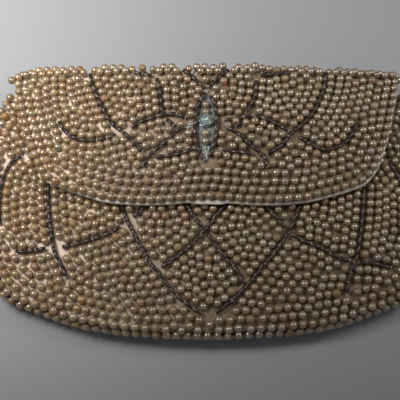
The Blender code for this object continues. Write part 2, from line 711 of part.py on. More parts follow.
def flap_panel(finish):
    """The flap: a bead panel with channels and a pocket for the stone, and three layers under it."""
    middle = np.array([0.0, FOLD_Y])
    outline = evenly(FLAP_OUTLINE, OUTLINE_SEGMENTS)
    edge = np.array([0.0, FOLD_GAP])
    top = FLAP_BEAD_Z + BEAD
    beads = [
        *pearl_rows(top, FLAP_ROW_INSET, FLAP_ROWS),
        (1.0, 0.0, level(top - FLAP_EDGE_FALL, downwards)),
        (1.0, 0.0, level(FLAP_BEAD_Z, downwards)),
        *[(share, 0.0, level(FLAP_BEAD_Z, downwards)) for share in reversed(RING_SHARES)],
        (0.0, 0.0, level(FLAP_BEAD_Z, downwards)),
    ]
    panel = fan_panel("flap_bead_panel", middle - edge, off_fold(outline, edge), beads, finish["pearl"])
    strings, cutters = bugle_web(FLAP_LINE_SHARES, FLAP_WIDTH / 2, FLAP_DROP, FLAP_BEAD_Z, finish)
    stone_x, stone_y = stone_place()
    low = FLAP_BEAD_Z + CHANNEL_FLOOR - float(fall(stone_x, stone_y))
    high = FLAP_BEAD_Z + BEAD + CHANNEL_OVERRUN
    room = STONE_RADIUS + CLEARANCE + CUP_WALL + STONE_POCKET_ROOM
    pocket = [(0.0, low), (room, low), (room, high), (0.0, high)]
    cutters.append(turned("stone_pocket", (stone_x, stone_y, 0.0), pocket, ROUND_SIDES, finish["pearl"]))
    cut_with(panel, cutters)
    pieces = [panel, *strings]
    inset = BINDING_RADIUS + CLEARANCE
    for name, low, thick, key in (
        ("flap_lining", FLAP_LINING_Z, LINING, "lining"),
        ("flap_stiffener", FLAP_BOARD_Z, BOARD, "board"),
        ("flap_satin", FLAP_SATIN_Z, SATIN, "satin"),
    ):
        back_off = np.array([0.0, FLAP_AXIS_Z - low + LAYER_GAP])
        rows = sheet_rows(low, low + thick, downwards, inset)
        pieces.append(fan_panel(name, middle - back_off, off_fold(outline, back_off), rows, finish[key]))
    return pieces


def flap_binding(finish):
    """A satin binding round the flap's free edge, under the rim of its beads."""
    path = evenly(FLAP_OUTLINE[1:-1], BINDING_SEGMENTS)
    z = FLAP_BEAD_Z - CLEARANCE - BINDING_RADIUS - fall(path[:, 0], path[:, 1])
    radii = np.full(len(path), BINDING_RADIUS)
    return tube_along("flap_binding", np.column_stack([path, z]), radii, BINDING_SIDES, finish["satin"])


def stone_place():
    return STONE_PLACE_SHARE[0] * FLAP_WIDTH / 2, FOLD_Y - STONE_PLACE_SHARE[1] * FLAP_DROP


def stone_in_cup(finish):
    """A faceted clear stone in a shallow metal cup, sunk in the flap's beads."""
    x, y = stone_place()
    base = FLAP_BEAD_Z + CHANNEL_FLOOR + CLEARANCE - float(fall(x, y))
    inner = STONE_RADIUS + CLEARANCE
    outer = inner + CUP_WALL
    cup = [
        (0.0, 0.0),
        (outer, 0.0),
        (outer, CUP_HEIGHT),
        (inner, CUP_HEIGHT),
        (inner, CUP_WALL),
        (0.0, CUP_WALL),
    ]
    seat = CUP_WALL + CLEARANCE
    stone = [
        (0.0, seat),
        (STONE_TABLE_RADIUS, seat),
        (STONE_RADIUS, STONE_GIRDLE),
        (STONE_TABLE_RADIUS, STONE_HEIGHT),
        (0.0, STONE_HEIGHT),
    ]
    return [
        turned("stone_cup", (x, y, base), cup, ROUND_SIDES, finish["metal"]),
        turned("clear_stone", (x, y, base), stone, STONE_SIDES, finish["stone"], smooth=False),
    ]


def snap_socket(finish):
    """The socket half of the press stud, sewn to the front's satin in a clearing among the beads."""
    dip = float(fall(0.0, SNAP_Y))
    base = FRONT_SATIN_Z + SATIN + CLEARANCE - dip
    top = FRONT_BEAD_Z + BEAD - SOCKET_TOP_FALL - dip - base
    profile = [
        (0.0, 0.0),
        (SOCKET_RADIUS, 0.0),
        (SOCKET_RADIUS, SOCKET_SKIRT),
        (SOCKET_NECK_RADIUS, top),
        (BORE_RADIUS, top),
        (BORE_RADIUS, top - BORE_DEPTH),
        (0.0, top - BORE_DEPTH),
    ]
    return turned("snap_socket", (0.0, SNAP_Y, base), profile, ROUND_SIDES, finish["metal"])


def snap_stud(finish):
    """The stud half of the press stud, sewn to the flap's lining."""
    top = FLAP_LINING_Z - CLEARANCE - float(fall(0.0, SNAP_Y))
    profile = [
        (0.0, 0.0),
        (STUD_PLATE_RADIUS, 0.0),
        (STUD_PLATE_RADIUS, -STUD_PLATE),
        (STUD_RADIUS, -STUD_PLATE),
        (STUD_RADIUS, -STUD_PLATE - STUD_LENGTH),
        (0.0, -STUD_PLATE - STUD_LENGTH),
    ]
    return turned("snap_stud", (0.0, SNAP_Y, top), profile, ROUND_SIDES, finish["metal"])


def axis_empty(name, place, parent=None):
    """An empty on a fold line, which carries the pieces that turn about it."""
    empty = bpy.data.objects.new(name, None)
    bpy.context.scene.collection.objects.link(empty)
    empty.location = Vector(place)
    if parent:
        empty.parent = parent
        empty.matrix_parent_inverse = Matrix.Translation(-Vector(parent.location))
    return empty


def carry(pieces, empty, place):
    for piece in pieces:
        piece.parent = empty
        piece.matrix_parent_inverse = Matrix.Translation(-Vector(place))


def build():
    clear_scene()
    finish = finishes()
    back_panel(finish)
    front_panel(finish)
    mouth_binding(finish)
    slip_pocket(finish)
    snap_socket(finish)
    spine_place = (0.0, FOLD_Y, SPINE_AXIS_Z)
    flap_place = (0.0, FOLD_Y, FLAP_AXIS_Z)
    spine_axis = axis_empty("spine_fold_axis", spine_place)
    flap_axis = axis_empty("flap_fold_axis", flap_place, spine_axis)
    carry(spine(finish), spine_axis, spine_place)
    flap = [*flap_panel(finish), flap_binding(finish), *stone_in_cup(finish), snap_stud(finish)]
    carry(flap, flap_axis, flap_place)


build()
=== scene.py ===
import math

import bmesh
import bpy
import numpy as np
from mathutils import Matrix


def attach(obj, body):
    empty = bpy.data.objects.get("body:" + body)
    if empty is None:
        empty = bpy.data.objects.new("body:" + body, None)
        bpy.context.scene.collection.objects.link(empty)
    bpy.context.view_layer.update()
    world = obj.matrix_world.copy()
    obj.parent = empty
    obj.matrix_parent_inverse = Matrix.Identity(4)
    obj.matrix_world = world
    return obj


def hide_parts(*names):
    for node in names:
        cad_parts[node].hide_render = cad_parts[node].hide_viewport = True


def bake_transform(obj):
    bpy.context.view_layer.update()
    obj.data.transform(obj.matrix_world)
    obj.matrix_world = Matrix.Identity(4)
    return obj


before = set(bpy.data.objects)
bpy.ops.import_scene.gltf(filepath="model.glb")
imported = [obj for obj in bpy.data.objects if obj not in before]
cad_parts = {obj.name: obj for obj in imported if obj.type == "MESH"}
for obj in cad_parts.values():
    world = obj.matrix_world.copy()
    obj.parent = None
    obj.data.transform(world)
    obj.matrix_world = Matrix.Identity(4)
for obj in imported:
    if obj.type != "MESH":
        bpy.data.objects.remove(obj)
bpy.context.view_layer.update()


# Stiffener boards. Four pieces of grey buckram, one in each panel and one in the spine, hold the bag in form.
# Each is cut to its panel's outline and lies loose between the satin and the lining.

def new_material(name):
    """A material with its node tree and its Principled shader."""
    made = bpy.data.materials.new(name)
    made.use_nodes = True
    return made, made.node_tree, made.node_tree.nodes["Principled BSDF"]


def set_inputs(tree, node, inputs):
    """Each input gets a number, a colour or another node's output."""
    for key, value in inputs.items():
        if isinstance(value, bpy.types.NodeSocket):
            tree.links.new(value, node.inputs[key])
        else:
            node.inputs[key].default_value = value


def add_node(tree, kind, inputs=None, **settings):
    """A node with its settings and then its inputs."""
    node = tree.nodes.new(kind)
    for key, value in settings.items():
        setattr(node, key, value)
    set_inputs(tree, node, inputs or {})
    return node


def sum_of(tree, first, second, factor=1.0):
    """First plus second times factor."""
    return add_node(tree, "ShaderNodeMath", {0: second, 1: factor, 2: first}, operation="MULTIPLY_ADD").outputs[0]


def place_on(tree):
    """The place on the piece, in Object coordinates."""
    return add_node(tree, "ShaderNodeTexCoord").outputs["Object"]


def noise(tree, place, scale, detail):
    """Soft noise from 0 to 1."""
    return add_node(tree, "ShaderNodeTexNoise", {"Vector": place, "Scale": scale, "Detail": detail}).outputs["Fac"]


def mix(tree, factor, first, second, how="MIX"):
    """The first colour at a factor of 0 going over to the second at 1."""
    return add_node(tree, "ShaderNodeMix", {"Factor": factor, "A": first, "B": second}, data_type="RGBA",
                    blend_type=how).outputs["Result"]


def bumped(tree, height, distance, strength):
    """The normal of a surface that the height raises by the distance."""
    return add_node(tree, "ShaderNodeBump", {"Height": height, "Strength": strength,
                                             "Distance": distance}).outputs["Normal"]


def woven_group():
    """Woven threads, from Object coordinates: the product of a sine across X and one across Y stands for the threads
    that cross, and a long noise along X for the floating threads of satin."""
    group = bpy.data.node_groups.new("woven_threads", "ShaderNodeTree")
    group.interface.new_socket("Thread Scale", in_out="INPUT", socket_type="NodeSocketFloat")
    group.interface.new_socket("Height", in_out="OUTPUT", socket_type="NodeSocketFloat")
    group.interface.new_socket("Shade", in_out="OUTPUT", socket_type="NodeSocketFloat")
    given = group.nodes.new("NodeGroupInput").outputs[0]
    result = group.nodes.new("NodeGroupOutput")
    place = place_on(group)
    across, along = (add_node(group, "ShaderNodeTexWave", {"Vector": place, "Scale": given, "Distortion": 0.6},
                              bands_direction=way).outputs["Fac"] for way in "XY")
    crossed = add_node(group, "ShaderNodeMath", {0: across, 1: along}, operation="MULTIPLY").outputs[0]
    stretched = add_node(group, "ShaderNodeMapping", {"Vector": place, "Scale": (0.12, 1.0, 1.0)}).outputs[0]
    # The shade is a soft noise of tone plus painted shade: the weave is darker where its crossing threads sit low.
    set_inputs(group, result, {"Height": sum_of(group, crossed, noise(group, stretched, 2600.0, 2.0), 0.8),
                               "Shade": sum_of(group, noise(group, place, 90.0, 3.0), crossed, 0.4)})
    return group


woven_threads = woven_group()


def cloth_material(name, dark, light, thread_scale, roughness, sheen, depth):
    """Cloth: the weave's shade, partly painted shade where the weave sits low, runs from a dark to a light colour, and
    its height makes the bump.
    """
    made, tree, shader = new_material(name)
    weave = add_node(tree, "ShaderNodeGroup", {"Thread Scale": thread_scale}, node_tree=woven_threads)
    set_inputs(tree, shader, {
        "Base Color": mix(tree, weave.outputs["Shade"], (*dark, 1.0), (*light, 1.0)),
        "Normal": bumped(tree, weave.outputs["Height"], depth, 0.6),
        "Roughness": roughness, "Sheen Weight": sheen, "Sheen Roughness": 0.4,
    })
    return made


buckram = cloth_material("grey_buckram", (0.30, 0.28, 0.25), (0.50, 0.47, 0.42), 420.0, 0.9, 0.0, 0.0002)
for node in ("back_stiffener", "front_stiffener", "spine_stiffener", "flap_stiffener"):
    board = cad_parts[node]
    board.data.materials.clear()
    board.data.materials.append(buckram)


# Satin ground. The outside of each panel is pinkish cream satin, stretched over its board, and carries the beads.
# It is one cloth from the back over the spine to the flap, with a second for the front, turned in at the seam.

BAG_HALF_WIDTH = 0.114
FLAP_HALF_WIDTH = 0.096
FLAP_DROP = 0.0696
FOLD_Y = 0.063375
BODY_DROP = 0.130975
MOUTH_Y = 0.056375
SPINE_AXIS_Z = 0.004225
FLAP_AXIS_Z = 0.021925
BACK_SATIN_Z = 0.00405
FRONT_SATIN_Z = 0.01545
FLAP_SATIN_Z = 0.0221
SEAM_Z = 0.0085
SATIN_INSET = 0.0041
SATIN_THICKNESS = 0.00035
# Both outlines from the photo, in thousandths: the share of the half width and the share of the drop.
BODY_SHARES = (
    (845, 0), (875, 22), (903, 50), (922, 85), (945, 130), (974, 206), (992, 305), (1000, 420), (987, 550),
    (945, 680), (896, 775), (835, 848), (760, 886), (632, 926), (519, 958), (384, 980), (225, 993), (0, 1000),
)
FLAP_SHARES = (
    (1003, 0), (992, 115), (962, 270), (926, 450), (885, 600), (840, 740), (780, 840), (690, 898), (600, 938),
    (500, 975), (400, 993), (300, 1000), (200, 996), (100, 984), (0, 977),
)


def smooth_path(points, steps=12):
    """A curve through the points: each span is a cubic whose end slopes follow the neighbouring points."""
    points = np.asarray(points, float)
    around = np.vstack([2 * points[0] - points[1], points, 2 * points[-1] - points[-2]])
    t = np.linspace(0, 1, steps, endpoint=False)[:, None, None]
    a, b, c, d = around[:-3], around[1:-2], around[2:-1], around[3:]
    spans = 0.5 * (2 * b + (c - a) * t + (2 * a - 5 * b + 4 * c - d) * t**2 + (3 * b - a - 3 * c + d) * t**3)
    return np.vstack([spans.transpose(1, 0, 2).reshape(-1, points.shape[1]), points[-1:]])


def unit(vectors):
    """Each vector divided by its length."""
    return vectors / np.linalg.norm(vectors, axis=-1, keepdims=True)


def lengths_along(path):
    """The distance along a path to each of its points."""
    return np.concatenate([[0.0], np.cumsum(np.linalg.norm(np.diff(path, axis=0), axis=1))])


def spots_on(path, places):
    """The points at some distances along a path, and the path's direction at each."""
    lengths = lengths_along(path)
    spots, ahead = (np.column_stack([np.interp(places, lengths, axis) for axis in values.T])
                    for values in (path, np.gradient(path, axis=0)))
    return spots, unit(ahead)


def evenly(path, spacing=None, count=None, start=0.0):
    """The points at equal steps along a path, and the path's direction at each."""
    whole = lengths_along(path)[-1]
    return spots_on(path, np.linspace(0, whole, count) if count else np.arange(start, whole, spacing))


def whole_outline(shares, half_width, drop):
    """Both halves of an outline, from the right end of the fold down and round to the left end."""
    half = np.array(shares) / 1000 * (half_width, -drop) + (0, FOLD_Y)
    return smooth_path(np.vstack([half, half[-2::-1] * (-1, 1)]))


body_outline = whole_outline(BODY_SHARES, BAG_HALF_WIDTH, BODY_DROP)
flap_outline = whole_outline(FLAP_SHARES, FLAP_HALF_WIDTH, FLAP_DROP)
mouth_end = np.interp(FOLD_Y - MOUTH_Y, FOLD_Y - body_outline[:100, 1], body_outline[:100, 0])
front_outline = np.vstack([(mouth_end, MOUTH_Y), body_outline[body_outline[:, 1] < MOUTH_Y], (-mouth_end, MOUTH_Y)])


def share_out(x, y):
    """Distance from the middle of the fold, divided by the outline's distance in the same direction."""
    angle = np.arctan2(FOLD_Y - y, x)
    rim_angle = np.arctan2(FOLD_Y - body_outline[:, 1], body_outline[:, 0])
    rim_reach = np.hypot(body_outline[:, 0], FOLD_Y - body_outline[:, 1])
    return np.hypot(x, FOLD_Y - y) / np.interp(angle, rim_angle, rim_reach)


def fall(x, y):
    """The front and the flap dome down by 5 mm times the share to the power 2.2."""
    return 0.005 * share_out(x, y) ** 2.2


def rise(x, y):
    """The back is flat to a share of 0.88, then rises as a square to 2.5 mm at the rim."""
    return 0.0025 * (np.maximum(share_out(x, y) - 0.88, 0) / 0.12) ** 2


def add_mesh(name, vertices, faces, material, smooth=True):
    """A mesh object from arrays of vertices and faces, shaded smooth unless it has facets."""
    mesh = bpy.data.meshes.new(name)
    mesh.from_pydata(np.asarray(vertices).reshape(-1, 3).tolist(), [], [list(map(int, face)) for face in faces])
    mesh.update()
    mesh.materials.append(material)
    mesh.shade_smooth() if smooth else mesh.shade_flat()
    made = bpy.data.objects.new(name, mesh)
    bpy.context.scene.collection.objects.link(made)
    return made


def grid_faces(rows, columns, closed=False):
    """The quads of a grid of rows times columns vertices. Closed joins the last column to the first."""
    r, c = np.meshgrid(np.arange(rows - 1), np.arange(columns if closed else columns - 1), indexing="ij")
    n = (c + 1) % columns
    return np.stack([r * columns + c, (r + 1) * columns + c, (r + 1) * columns + n, r * columns + n], -1).reshape(-1, 4)


def thicken(made, thickness):
    """Cloth gets its thickness on the side away from its faces."""
    made.modifiers.new("cloth", "SOLIDIFY").thickness = thickness
    return made


def fan_sheet(name, outline, top, rings, material, upward=True):
    """A sheet whose rings run from the middle of its straight top edge out to the outline.

    A ring is (share, inset, height function): its points lie at that share of the way from the middle to the outline,
    less the inset.
    """
    rim, _ = evenly(outline, count=121)
    middle = np.array([0.0, top])
    reach = np.linalg.norm(rim - middle, axis=1)[:, None]
    towards = (rim - middle) / reach
    flat = [middle + towards * np.maximum(share * reach - inset, 0) for share, inset, _ in rings]
    flat = [np.column_stack([x[:, 0], np.minimum(x[:, 1], top)]) for x in flat]
    grid = np.stack([np.column_stack([p, h(p[:, 0], p[:, 1])]) for p, (_, _, h) in zip(flat, rings)])
    count = len(rim)
    vertices = np.vstack([grid[0, :1], grid[1:].reshape(-1, 3)])
    fan = [(0, 1 + k, 2 + k) for k in range(count - 1)]
    quads = grid_faces(len(rings) - 1, count) + 1
    faces = [face[::-1] if upward else face for face in fan + quads.tolist()]
    return thicken(add_mesh(name, vertices, faces, material), SATIN_THICKNESS)


def even_rings(height, inset=SATIN_INSET):
    """Rings of one height function, evenly spaced from the middle to the rim. The inset grows with the share to the
    power 8."""
    return [(share, inset * share**8, height) for share in np.linspace(0, 1, 22)]


def flat_area(outline):
    """The area inside an outline that is closed along the fold."""
    x, y = outline.T
    return 0.5 * abs(np.dot(x, np.roll(y, 1)) - np.dot(y, np.roll(x, 1)))


def paint_shade_on_right(made):
    """Multiplies the cloth's colour by an olive brown as painted shade towards the right end, away from the main lamp:
    not below x = -61 mm, fully above x = -3 mm, and partly between. A soft noise moves both places up to 25 mm either
    way."""
    tree = made.node_tree
    shader = tree.nodes["Principled BSDF"]
    place = place_on(tree)
    across = add_node(tree, "ShaderNodeSeparateXYZ", {"Vector": place}).outputs["X"]
    patchy = sum_of(tree, across, noise(tree, place, 40.0, 2.0), 0.05)
    right_shade_share = add_node(tree, "ShaderNodeMapRange", {"Value": patchy, "From Min": -0.036, "From Max": 0.022})
    unshaded_colour = shader.inputs["Base Color"].links[0].from_socket
    set_inputs(tree, shader, {"Base Color": mix(tree, right_shade_share.outputs["Result"], unshaded_colour, (0.34, 0.30, 0.22, 1.0),
                                                "MULTIPLY")})


satin = cloth_material("pinkish_cream_satin", (0.40, 0.28, 0.20), (0.88, 0.70, 0.54), 700.0, 0.42, 0.15, 0.00012)
# Painted shade: the satin is darkened towards the right end, where less lamp light falls.
paint_shade_on_right(satin)


def front_satin_height(x, y):
    """The face of the front's satin; the next two are the back's and the flap's."""
    return FRONT_SATIN_Z - fall(x, y)


def back_satin_height(x, y):
    return BACK_SATIN_Z + rise(x, y)


def flap_satin_height(x, y):
    return FLAP_SATIN_Z - fall(x, y)


# The last two rings of the back and the front turn the cloth in at the seam.
back_ground = fan_sheet("back_satin_ground", body_outline, FOLD_Y - 0.0002,
                        [*even_rings(back_satin_height), (1.0, 0.0036, back_satin_height),
                         (1.0, 0.0034, lambda x, y: SEAM_Z - 0.0002 + 0 * x)], satin, upward=False)
front_ground = fan_sheet("front_satin_ground", front_outline, MOUTH_Y,
                         [*even_rings(front_satin_height), (1.0, 0.0036, front_satin_height),
                          (1.0, 0.0034, lambda x, y: SEAM_Z + 0.0002 + 0 * x)], satin)
flap_ground = fan_sheet("flap_satin_ground", flap_outline, FOLD_Y - 0.0002,
                        even_rings(flap_satin_height, inset=0.0004), satin)


def strip_between(name, x, lower, upper, material):
    """A sheet of straight lines from a lower curve to an upper one, each a function of x that gives y and z."""
    low = np.column_stack([x, *lower(x)])
    high = np.column_stack([x, *upper(x)])
    part = np.linspace(0, 1, 9)[:, None, None]
    grid = low[None] * (1 - part) + high[None] * part
    return thicken(add_mesh(name, grid, grid_faces(len(part), len(x)), material), SATIN_THICKNESS)


spine_x = np.linspace(-0.0909, 0.0909, 61)


def spine_foot(x):
    """The fold line between the back and the spine: its y and z at each x."""
    return FOLD_Y + 0 * x, SPINE_AXIS_Z + rise(x, FOLD_Y)


def spine_head(x):
    """The fold line between the spine and the flap."""
    return FOLD_Y + 0 * x, FLAP_AXIS_Z - fall(x, FOLD_Y)


def spine_satin_head(x):
    """The satin stops 0.9 mm short of the corner where the flap's top row of pearls comes down beside it when the bag
    is opened, and the pearls of the fold cover that."""
    room = np.interp(fall(x, FOLD_Y), (0, 0.0002, 0.0005, 0.0014, 0.0022), (0, 0.0006, 0.0009, 0.0009, 0))
    return spine_head(x)[0] + 0.000175, spine_head(x)[1] - 0.0002 - room


spine_ground = strip_between(
    "spine_satin_ground", spine_x,
    lambda x: (spine_foot(x)[0] + 0.000175, spine_foot(x)[1] + 0.0002), spine_satin_head, satin)

for piece, body, panel, size, area in (
    (back_ground, "pouch", "back", (0.232, 0.133), flat_area(body_outline)),
    (front_ground, "pouch", "front", (0.232, 0.126), flat_area(front_outline)),
    (flap_ground, "flap", "flap", (0.192, 0.070), flat_area(flap_outline)),
    (spine_ground, "spine", "spine", (0.182, 0.0175), 0.0027),
):
    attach(piece, body)
    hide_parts(panel + "_satin")


# Strings of bugles. Cut lengths of gunmetal glass tube with a bore, sewn end to end in strings that make the web.
# Cream thread runs through each string, and stitches over about a third of the joints hold it down to the satin.

# Each line from the photo, in thousandths: the share of the panel's half width, and of its drop from the fold.
FLAP_LINES = {
    "flap_left_long_spoke": ((-610, -12), (-593, 83), (-551, 231), (-486, 404), (-413, 494), (-364, 559), (-330, 617),
        (-284, 662)),
    "flap_right_long_spoke": ((616, -12), (606, 116), (569, 247), (523, 363), (427, 493), (388, 555), (361, 606),
        (273, 662)),
    "flap_left_short_spoke": ((-258, 60), (-237, 196), (-225, 356)),
    "flap_right_short_spoke": ((257, 60), (242, 225), (178, 375)),
    "flap_left_top_arc": ((-385, 12), (-320, 26), (-258, 36)),
    "flap_right_top_arc": ((425, 12), (330, 30), (257, 36)),
    "flap_left_crown": ((-125, -12), (-80, 40), (-29, 116), (-1, 156)),
    "flap_right_crown": ((110, -12), (68, 52), (22, 105), (-1, 156)),
    "flap_left_almond_side": ((-1, 156), (-32, 245), (-56, 330), (-60, 470), (-50, 600), (-5, 723)),
    "flap_right_almond_side": ((-1, 156), (32, 245), (48, 330), (48, 460), (34, 590), (-5, 723)),
    "flap_left_outer_swag": ((-758, 371), (-709, 479), (-635, 543), (-545, 545), (-445, 508), (-413, 494)),
    "flap_right_outer_swag": ((770, 384), (691, 561), (583, 620), (503, 565), (427, 493)),
    "flap_left_inner_swag": ((-413, 494), (-334, 409), (-225, 356), (-166, 344), (-85, 392)),
    "flap_right_inner_swag": ((427, 493), (339, 417), (249, 362), (178, 375), (85, 400)),
    "flap_left_leaf": ((-100, 436), (-145, 473), (-214, 572), (-284, 662), (-324, 766)),
    "flap_right_leaf": ((88, 445), (141, 481), (219, 590), (273, 662), (305, 774)),
    "flap_left_leaf_link": ((-225, 356), (-178, 419), (-145, 473)),
    "flap_right_leaf_link": ((178, 375), (147, 434), (141, 481)),
    "flap_left_low_arc": ((-50, 600), (-114, 641), (-185, 668), (-276, 676)),
    "flap_right_low_arc": ((34, 600), (129, 637), (200, 645), (262, 668)),
}
FRONT_LINES = {
    "front_left_side_curve": ((-778, 322), (-828, 341), (-863, 416), (-868, 514), (-854, 603)),
    "front_right_side_curve": ((770, 340), (812, 410), (838, 500), (830, 610)),
    "front_left_upright": ((-667, 424), (-659, 526), (-648, 581), (-623, 686), (-586, 744), (-562, 800)),
    "front_right_upright": ((660, 444), (641, 568), (610, 702), (593, 733), (568, 792), (550, 849)),
    "front_left_outer_swag": ((-795, 690), (-733, 697), (-672, 685), (-623, 686)),
    "front_right_outer_swag": ((745, 755), (686, 741), (593, 733)),
    "front_left_inner_swag": ((-623, 686), (-558, 675), (-465, 652), (-389, 624), (-329, 583)),
    "front_right_inner_swag": ((593, 733), (519, 714), (457, 678), (394, 660), (335, 624)),
    "front_left_short_swag": ((-329, 583), (-287, 557), (-236, 510)),
    "front_right_short_swag": ((335, 624), (303, 591), (235, 520)),
    "front_left_arm": ((-362, 500), (-342, 556), (-329, 583), (-286, 650), (-240, 727), (-201, 765), (-124, 850),
        (-38, 907), (6, 927)),
    "front_right_arm": ((394, 505), (358, 577), (335, 624), (278, 694), (216, 758), (130, 844), (66, 893), (6, 927)),
    "front_rising_diagonal": ((-201, 765), (-131, 720), (-67, 676), (-10, 618), (80, 515)),
    "front_falling_diagonal_top": ((-90, 510), (-62, 560), (-10, 618)),
    "front_falling_diagonal_foot": ((-10, 618), (62, 708), (120, 767), (146, 830)),
}
# Lines that start or end away from a junction, so that their bugles reach the very end. * is left and right.
FREE_START, FREE_END = ({name.replace("*", side) for name in names.split() for side in ("left", "right")} for names in (
    "flap_*_long_spoke flap_*_short_spoke flap_*_top_arc flap_*_crown flap_*_outer_swag flap_*_leaf "
    "front_*_side_curve front_*_upright front_*_outer_swag front_*_arm front_falling_diagonal_top",
    "flap_*_leaf flap_*_inner_swag front_*_side_curve front_*_upright front_*_short_swag front_rising_diagonal"))
BUGLE_LENGTH = 0.0045
BUGLE_RADIUS = 0.00098
BUGLE_PITCH = 0.0048
BUGLE_LIFT = 0.0021  # of its axis over the satin, about level with the pearls' middles
JUNCTION_SPACE = 0.0018  # from a junction of lines to the end of the nearest bugle
BUGLE_PROFILE = np.array([(-0.5, 0.55), (-0.5, 0.88), (-0.475, 1.0), (0.475, 1.0), (0.5, 0.88), (0.5, 0.55)])
BUGLE_SIDES = 8
STITCHED_SHARE = 0.35


def carried_rings(centres, ahead, up, profile, sides):
    """A turned shape carried to many places: each profile point is (length along the axis, radius), and the ring's
    points are centre + length * ahead + radius * (cos * side + sin * up)."""
    side = unit(np.cross(ahead, up))
    above = np.cross(side, ahead)
    turn = (np.arange(sides) + 0.5) * math.tau / sides
    ring = np.cos(turn)[:, None] * side[:, None, None, :] + np.sin(turn)[:, None] * above[:, None, None, :]
    axis = centres[:, None, :] + profile[..., 0][..., None] * ahead[:, None, :]
    return axis[:, :, None, :] + profile[..., 1][..., None, None] * ring


def join_copies(faces, copies, each):
    """The faces of one shape repeated for each copy, whose vertices follow each other."""
    return (faces[None] + (np.arange(copies) * each)[:, None, None]).reshape(-1, faces.shape[1])


def paint_each(obj, name, values, each):
    """One value or colour for each copied shape, on its own vertices."""
    values = np.repeat(values, each, axis=0).astype(np.float32)
    kind = "FLOAT_COLOR" if values.ndim == 2 else "FLOAT"
    layer = obj.data.attributes.new(name, kind, "POINT")
    if kind == "FLOAT_COLOR":
        values = np.column_stack([values, np.ones(len(values), np.float32)])
        layer.data.foreach_set("color", values.ravel())
    else:
        layer.data.foreach_set("value", values)


def tubes(name, paths, radius, sides, material):
    """Thin tubes along many short paths at once: paths is tubes x points x 3, and each tube is closed at its ends."""
    paths = np.asarray(paths, float)
    ahead = unit(np.gradient(paths, axis=1))
    side = unit(np.cross(ahead, (0.13, 0.21, 1.0)))
    above = np.cross(side, ahead)
    turn = np.arange(sides) * math.tau / sides
    rings = (paths[:, :, None] + radius * (np.cos(turn)[:, None] * side[:, :, None]
                                           + np.sin(turn)[:, None] * above[:, :, None]))
    count, points = paths.shape[:2]
    faces = join_copies(grid_faces(points, sides, closed=True), count, points * sides).tolist()
    first = np.arange(sides)
    last = first[::-1] + (points - 1) * sides
    for cap in (first, last):
        faces += join_copies(cap[None], count, points * sides).tolist()
    return add_mesh(name, rings, faces, material)


def bugle_material():
    """Gunmetal glass: each tube has its own near-black brown or purple, with a fine mottle and a hard gloss."""
    made, tree, shader = new_material("gunmetal_glass")
    tint = add_node(tree, "ShaderNodeAttribute", attribute_name="tint").outputs["Color"]
    mottle = noise(tree, place_on(tree), 1500.0, 3.0)
    set_inputs(tree, shader, {
        "Base Color": mix(tree, mottle, tint, (0.012, 0.010, 0.012, 1.0)),
        "Roughness": sum_of(tree, 0.20, mottle, 0.20), "Metallic": 0.25,
        "Specular Tint": (1.0, 0.82, 0.68, 1.0), "Coat Weight": 0.3, "Coat Roughness": 0.12,
    })
    return made


def thread_material(name, colour):
    """Sewing thread: a tight twist shows as fine light and dark bands, the dark ones painted shade in the twist's
    grooves.
    """
    made, tree, shader = new_material(name)
    twist = noise(tree, place_on(tree), 2500.0, 2.0)
    # Painted shade: the thread is darker where its twist sits low.
    dark = tuple(0.72 * c for c in colour)
    set_inputs(tree, shader, {"Base Color": mix(tree, twist, (*dark, 1.0), (*colour, 1.0)),
                              "Normal": bumped(tree, twist, 0.0001, 0.5), "Roughness": 0.6})
    return made


gunmetal = bugle_material()
cream_thread = thread_material("cream_thread", (0.74, 0.64, 0.50))


def line_path(shares, half_width, drop):
    """A bugle line's smooth path, seen from above."""
    return smooth_path(np.array(shares) / 1000 * (half_width, -drop) + (0, FOLD_Y))


def raised(flat, ground, lift):
    """Places above the satin: the ground's height there plus the lift."""
    return np.column_stack([flat, ground(flat[:, 0], flat[:, 1]) + lift])


